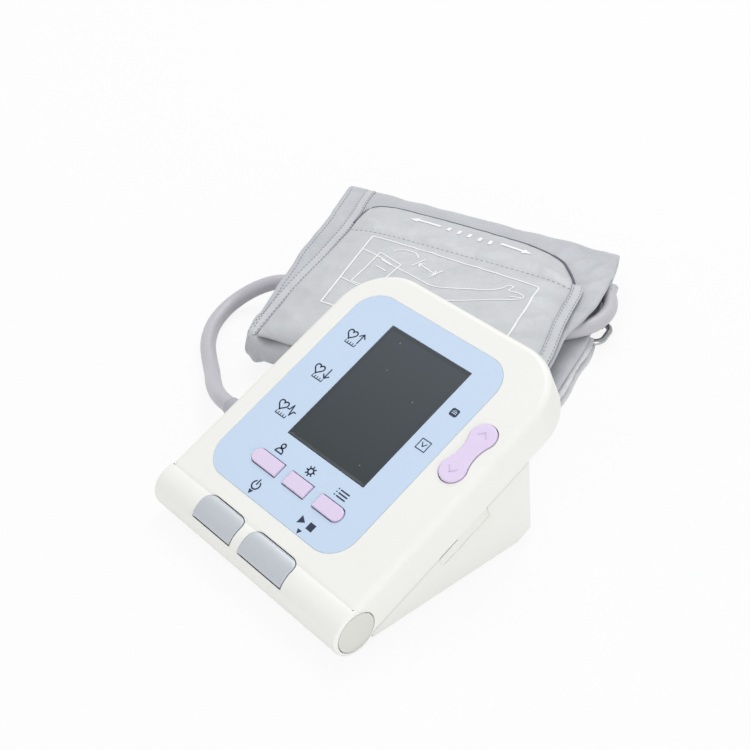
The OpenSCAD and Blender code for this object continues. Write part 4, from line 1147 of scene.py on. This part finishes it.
def lay_ribbon(name, points, width, lift, thickness, step=1.5, level=False, on=None):
    """A flat ribbon laid along a line on the cloth, in the cuff's millimetres. A level one bridges
    the small hollows under it, as a stiff tape does. It lies on all the cloth, or on one piece."""
    points = np.array(points, dtype=float)
    runs = runs_of(points)
    count = max(int(runs[-1] / step), 2)
    line = walk_along(points, runs, np.linspace(0, runs[-1], count + 1))
    ahead = np.gradient(line, axis=0)
    ahead /= np.linalg.norm(ahead, axis=1)[:, None]
    side = np.stack([-ahead[:, 1], ahead[:, 0]], axis=1)
    lanes = (-0.5, -0.17, 0.17, 0.5) if width > 2 else (-0.5, 0.5)
    spots = []
    for i in range(len(line)):
        for lane in lanes:
            place = line[i] + side[i] * lane * width
            spots.append((place[0], place[1], 0))
    ribbon = woven(name, spots, len(line), len(lanes))
    rise = np.array([(on or top_of)(point.co.x, point.co.y) for point in ribbon.data.vertices])
    rise = rise.reshape(len(line), len(lanes))
    if level:
        crest = np.pad(rise.max(axis=1), 3, mode="edge")
        crest = np.convolve(crest, np.ones(7) / 7, mode="valid")
        rise = np.maximum(0.65 * crest[:, None] + 0.35 * rise, rise)
    for point, up in zip(ribbon.data.vertices, rise.reshape(-1)):
        point.co.z = up + lift
    if sum(face.normal.z for face in ribbon.data.polygons) < 0:
        ribbon.data.flip_normals()
    if thickness:
        apply_step(ribbon, "SOLIDIFY", thickness=thickness, offset=0.0)
    return ribbon


tape_nylon = nylon("tape_nylon", (205, 207, 210), (190, 192, 196), 0.5, 0.35, 0.25)
left_line = [(float(between(v, left_seam + [(72, -60.5)])) - 3.3, v) for v in range(-80, 73, 4)]
right_line = [(float(between(v, right_seam + [(60, 62)])) + 1.8, v) for v in range(-80, 31, 3)]
tape_width = 5.4
tapes = [
    lay_ribbon("left_tape", left_line, tape_width, 0.0005, 0.0007, on=cloth_top([band])),
    lay_ribbon("right_tape", right_line, tape_width, 0.0006, 0.0007, level=True),
]
tapes = join(tapes, "cuff_edge_tapes")
apply_step(tapes, "SUBSURF", levels=1, render_levels=1)
dress(tapes, tape_nylon, "tape_cloth", "case", "cuff_tapes")
top_of = cloth_top([band, pocket, tapes])

# A thin dark grey strip lies along the pocket's far edge, where the panel is turned under. It
# is painted shade, standing in for the shadow line under the turned-under edge.
hem_line = [pocket_spot(q / 60, 1.985) for q in range(0, 61)]
hem_line = [(w, v + 0.1) for w, v in hem_line]
hem = lay_ribbon("pocket_hem_painted_shade_strip", hem_line, 1.0, 0.0004, 0.0006, 1.0, level=True)
# Painted shade: the strip's dark grey stands in for the shadow along the far seam.
painted_shade_grey = moulded("hem_painted_shade", (112, 115, 124), (92, 95, 104), 0.7, 4000.0, 0.00005)
dress(hem, painted_shade_grey, "tape_cloth", "case")

# Every seam is a row of short lock stitches in grey thread.
bpy.ops.object.select_all(action="DESELECT")
bpy.ops.mesh.primitive_uv_sphere_add(segments=6, ring_count=5, radius=1)
one_stitch = bpy.context.object
stitch_spots = np.array([v.co for v in one_stitch.data.vertices])
stitch_faces = [tuple(p.vertices) for p in one_stitch.data.polygons]
bpy.data.objects.remove(one_stitch)
seams = [
    [(x - 2.0, v) for x, v in left_line],
    [(x + 2.0, v) for x, v in left_line],
    [(x - 1.9, v) for x, v in right_line],
    [(x + 1.9, v) for x, v in right_line],
    [pocket_spot(q / 40, 1 + 0.97) for q in range(0, 41)],
    [(pocket_spot(q / 40, 1)[0], cross_seam) for q in range(0, 41)],
    [(float(between(v, left_top)) + 3.0, v) for v in range(-76, 70, 4)],
]
stitch_step, stitch_length = 2.7, 1.7
spots, faces = [], []
for seam in seams:
    line = np.array(seam, dtype=float)
    runs = runs_of(line)
    for at in np.arange(1.0, runs[-1], stitch_step):
        knots = walk_along(line, runs, [at, at + stitch_length])
        ends = list(on_cuff([(x, y, 0) for x, y in knots]))
        for end in ends:
            end[2] = top_of(end[0], end[1]) + 0.00006
        middle = (ends[0] + ends[1]) / 2
        way = Vector(ends[1] - ends[0])
        turn = np.array(way.to_track_quat("X", "Z").to_matrix())
        shape = stitch_spots * np.array([way.length * 0.55, 0.00024, 0.0002])
        faces += [tuple(len(spots) + a for a in face) for face in stitch_faces]
        spots += [tuple(p) for p in shape @ turn.T + middle]
stitches = mesh_piece("cuff_stitches", spots, faces)
take(stitches)
bpy.ops.object.shade_smooth()
thread = moulded("grey_thread", (150, 152, 158), (136, 138, 145), 0.7, 5000.0, 0.00005)
dress(stitches, thread, "tape_cloth", "case")


# The cuff's print is white ink: two arrows with a row of ticks between them, and a framed sign
# that shows in plain lines how the cuff sits on an arm.
def rounded_line(points, steps=6):
    """A smooth line through a few points."""
    points = [np.array(p, dtype=float) for p in points]
    line = []
    for i in range(len(points) - 1):
        after = points[min(i + 2, len(points) - 1)]
        line += spline(points[max(i - 1, 0)], points[i], points[i + 1], after, steps)
    return [tuple(p) for p in line] + [tuple(points[-1])]


wide_lines = [
    [(-21.0, 41.9), (-7.0, 41.7)],
    [(27.0, 40.2), (40.5, 38.9)],
]
wide_lines += [[(x, 43.4 - 0.1 * (x + 4)), (x, 39.4 - 0.1 * (x + 4))] for x in (-2, 4, 10, 16, 22)]
frame_line = [(-32.2, 16.1), (-23.8, -49.3), (66, -56), (60.2, 10.9), (-32.2, 16.1)]
thin_lines = [
    rounded_line([(-30, 2), (-20, -1), (-8, -6), (4, -9.5), (14, -12.6), (20.5, -12.0), (32, -7),
                  (40, -3.6), (45, 1.2), (47.4, 5.2), (49.6, 4.4), (49, 0.8), (54.6, 1.0),
                  (57.4, -1.4), (54, -5.2), (46, -10), (36, -16), (22, -24), (6, -32), (-12, -30),
                  (-27, -26)]),
    [(56.4, -2.2), (51.4, -3.6)],
    [(-20.6, 2.6), (-6.2, -3.0), (-7.6, -29.2), (-20.2, -27.0), (-20.6, 2.6)],
    [(-17.0, -3), (-10.0, -5.6)],
    [(-16.8, -9), (-9.9, -11.6)],
    [(-1.5, -1.0), (2.0, 7.0)],
    [(10.5, -6.4), (14.0, 1.6)],
    [(1.0, 2.2), (12.4, -3.0)],
    [(4.2, 3.2), (1.0, 2.2), (2.8, -0.8)],
    [(9.4, -4.0), (12.4, -3.0), (10.8, 0.2)],
    rounded_line([(-16, 7.5), (-11, 10.6), (-5, 10.2), (-1.6, 6.6)]),
]
print_lift = 0.00022
print_pieces = [lay_ribbon("print_line", line, 1.9, print_lift, 0, 1.0) for line in wide_lines]
print_pieces.append(lay_ribbon("print_frame", frame_line, 0.85, print_lift, 0, 0.8))
print_pieces += [lay_ribbon("print_thin", line, 0.7, print_lift, 0, 0.6) for line in thin_lines]
for tip, way in (((-24.4, 41.9), (1, 0)), ((44.2, 38.5), (-0.994, 0.107))):
    for row in range(8):
        reach = 0.2 + row * 0.6
        half = reach * 0.46 + 0.1
        middle = (tip[0] + way[0] * reach, tip[1] + way[1] * reach)
        ends = [(middle[0] - way[1] * h, middle[1] + way[0] * h) for h in (-half, half)]
        print_pieces.append(lay_ribbon("print_tip", ends, 0.8, print_lift, 0, 0.8))
cuff_print = join(print_pieces, "cuff_print")
print_white = moulded("print_white_ink", (250, 250, 250), (240, 241, 243), 0.55, 3000.0, 0.00002)
dress(cuff_print, print_white, "cuff_cloth", "case")


# Under the sleeve lie the cuff's two fastening flaps, each a doubled cloth that turns back round
# a bar of the wire ring. Their cloth is brushed, for the hook tape to hold on. Its colour is
# painted light: lighter than the sleeve's, to make up for the shade under the sleeve.
# Painted light: the flaps' cloth is lighter than the sleeve's, against the shade in the hollow.
flap_cloth_painted_lighter = nylon("brushed_cloth_painted_lighter", (232, 233, 235), (220, 221, 224), 0.8, 1.4, 0.5)
flap_rows, flap_cols = 60, 96


def flap(name, knots, phase):
    """A doubled cloth under the sleeve, open at both sides, in the cuff's millimetres."""
    walk = smooth_walk(knots, flap_cols)
    along, up = walk[:, 0], walk[:, 1]
    start = -65 - 0.22 * along + 3.0 + 0.5 * np.sin(along * 0.13 + phase)
    finish = lower_right(along, 90) + 0.8 + 0.5 * np.sin(along * 0.17 + phase)
    finish += 0.9 * (up < 2.6)
    spots = []
    for i in range(flap_rows):
        across = start + (finish - start) * i / (flap_rows - 1)
        lift = 0.16 * np.sin(across * 0.19 + phase) * np.sin(along * 0.15 + phase)
        spots.append(np.stack([across, along, np.maximum(up + lift * (up > 2.6), 0.05)], axis=1))
    piece = woven(name, np.concatenate(spots), flap_rows, flap_cols, True)
    face_outward(piece)
    apply_step(piece, "SOLIDIFY", thickness=0.0011, offset=-1.0, use_even_offset=False)
    return piece


hook_flap = flap(
    "hook_flap",
    [(-60, 0.1), (-20, 0.1), (4, 0.1), (10, 0.1), (13, 0.1), (15.4, 1.6), (15.4, 3.9), (13, 5.3),
     (9, 5.2), (0, 5.2), (-30, 5.2), (-60, 5.2), (-64, 4.6), (-65.4, 2.7), (-64, 0.7)],
    0.4,
)
loop_flap = flap(
    "loop_flap",
    [(35, 0.1), (50, 0.1), (60, 0.1), (65, 0.6), (67, 2.7), (65, 4.7), (60, 5.2), (48, 5.2),
     (36, 5.2), (31, 5.3), (28.6, 3.9), (28.6, 1.6), (31, 0.1)],
    2.1,
)
dress(hook_flap, flap_cloth_painted_lighter, "patch_cloth", "case", "hook_patch")
dress(loop_flap, flap_cloth_painted_lighter, "patch_cloth", "case", "loop_patch")


# The ring is bright steel wire, bent into a long loop. The screws, the pump's can and the cells'
# sprung contacts are metal too.
def wire_finish(name, colour, roughness):
    """Drawn or pressed metal: fine streaks and a little tarnish."""
    made, tree, shader = new_finish(name)
    place = object_place(tree)
    bright = srgb(*colour)
    dull = tuple(v * 0.78 for v in bright[:3]) + (1,)
    streak = noise(tree, place, 900.0, 4.0)
    spread = remap(tree, streak, 0.3, 0.7, roughness - 0.05, roughness + 0.08)
    tone = mix_colours(tree, noise(tree, place, 110.0, 3.0), bright, dull)
    tree.links.new(tone, shader.inputs["Base Color"])
    tree.links.new(spread, shader.inputs["Roughness"])
    shader.inputs["Metallic"].default_value = 1.0
    return made


for node, name, colour, roughness in (
    ("cuff_ring", "ring_wire", (196, 198, 200), 0.24),
    ("case_screws", "case_screw_steel", (172, 174, 178), 0.32),
    ("board_screws", "board_screw_steel", (176, 178, 182), 0.3),
    ("pump_motor", "motor_can_steel", (178, 180, 184), 0.35),
    ("battery_contacts", "contact_nickel", (200, 200, 198), 0.28),
):
    coat(node, wire_finish(name, colour, roughness))

# The bladder is a flat grey rubber bag, a little smaller than the pocket that it lies in. It and
# its port show through the cuff's open side.
grey_rubber = moulded("bladder_rubber", (146, 146, 152), (132, 132, 140), 0.62, 1800.0, 0.00004)
coat("bladder_port", grey_rubber)
bag = placed("cuff_bladder_bag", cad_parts["cuff_bladder"].data.copy())
corners = np.array([point.co for point in bag.data.vertices])
middle = (corners.min(axis=0) + corners.max(axis=0)) / 2
for point, corner in zip(bag.data.vertices, corners):
    point.co = middle + (corner - middle) * (0.93, 0.93, 0.85)
dress(bag, grey_rubber, "bladder_rubber", "case", "cuff_bladder")

# The other CAD parts that keep their shape are plastic, rubber or coated board: the socket in
# the left wall, the dark port in the right wall's recess, the sliding battery door, the feet,
# and what lies inside the case.
for nodes, name, colour, shade, *more in (
    ("air_socket", "socket_plastic", (226, 225, 219), (216, 214, 208), 0.4),
    ("side_port", "port_grey_plastic", (92, 94, 96), (80, 82, 85), 0.45),
    ("battery_door", "door_white_plastic", (241, 241, 236), (236, 235, 228), 0.46, 2200.0),
    ("rubber_feet", "foot_rubber", (84, 84, 87), (72, 72, 76), 0.75, 1500.0, 0.00006),
    ("display_glass", "display_glass_face", (96, 106, 100), (84, 94, 90), 0.12, 4000.0, 0.000002),
    ("display_holder", "holder_white_plastic", (236, 236, 234), (226, 226, 222), 0.5),
    ("contact_strips", "strip_rubber", (182, 92, 76), (150, 74, 62), 0.7, 1600.0),
    ("main_board button_board", "board_green_lacquer", (40, 112, 70), (28, 92, 56), 0.3, 1400.0,
     0.00003),
    ("board_chips key_switches button_switches buzzer pressure_sensor", "chip_black_resin",
     (34, 34, 37), (46, 46, 50), 0.5, 3200.0),
    ("pump_head", "pump_white_nylon", (230, 229, 222), (218, 217, 208), 0.5),
    ("release_valve", "valve_grey_resin", (142, 144, 148), (126, 128, 133), 0.5),
    ("air_manifold", "manifold_cream_nylon", (224, 221, 210), (212, 208, 196), 0.5),
    ("air_tubes", "tube_silicone", (214, 210, 198), (202, 197, 184), 0.35, 1200.0),
    ("battery_cells", "cell_sleeve", (126, 132, 140), (108, 114, 124), 0.3, 1600.0),
):
    finish = moulded(name, colour, shade, *more)
    for node in nodes.split():
        coat(node, finish)
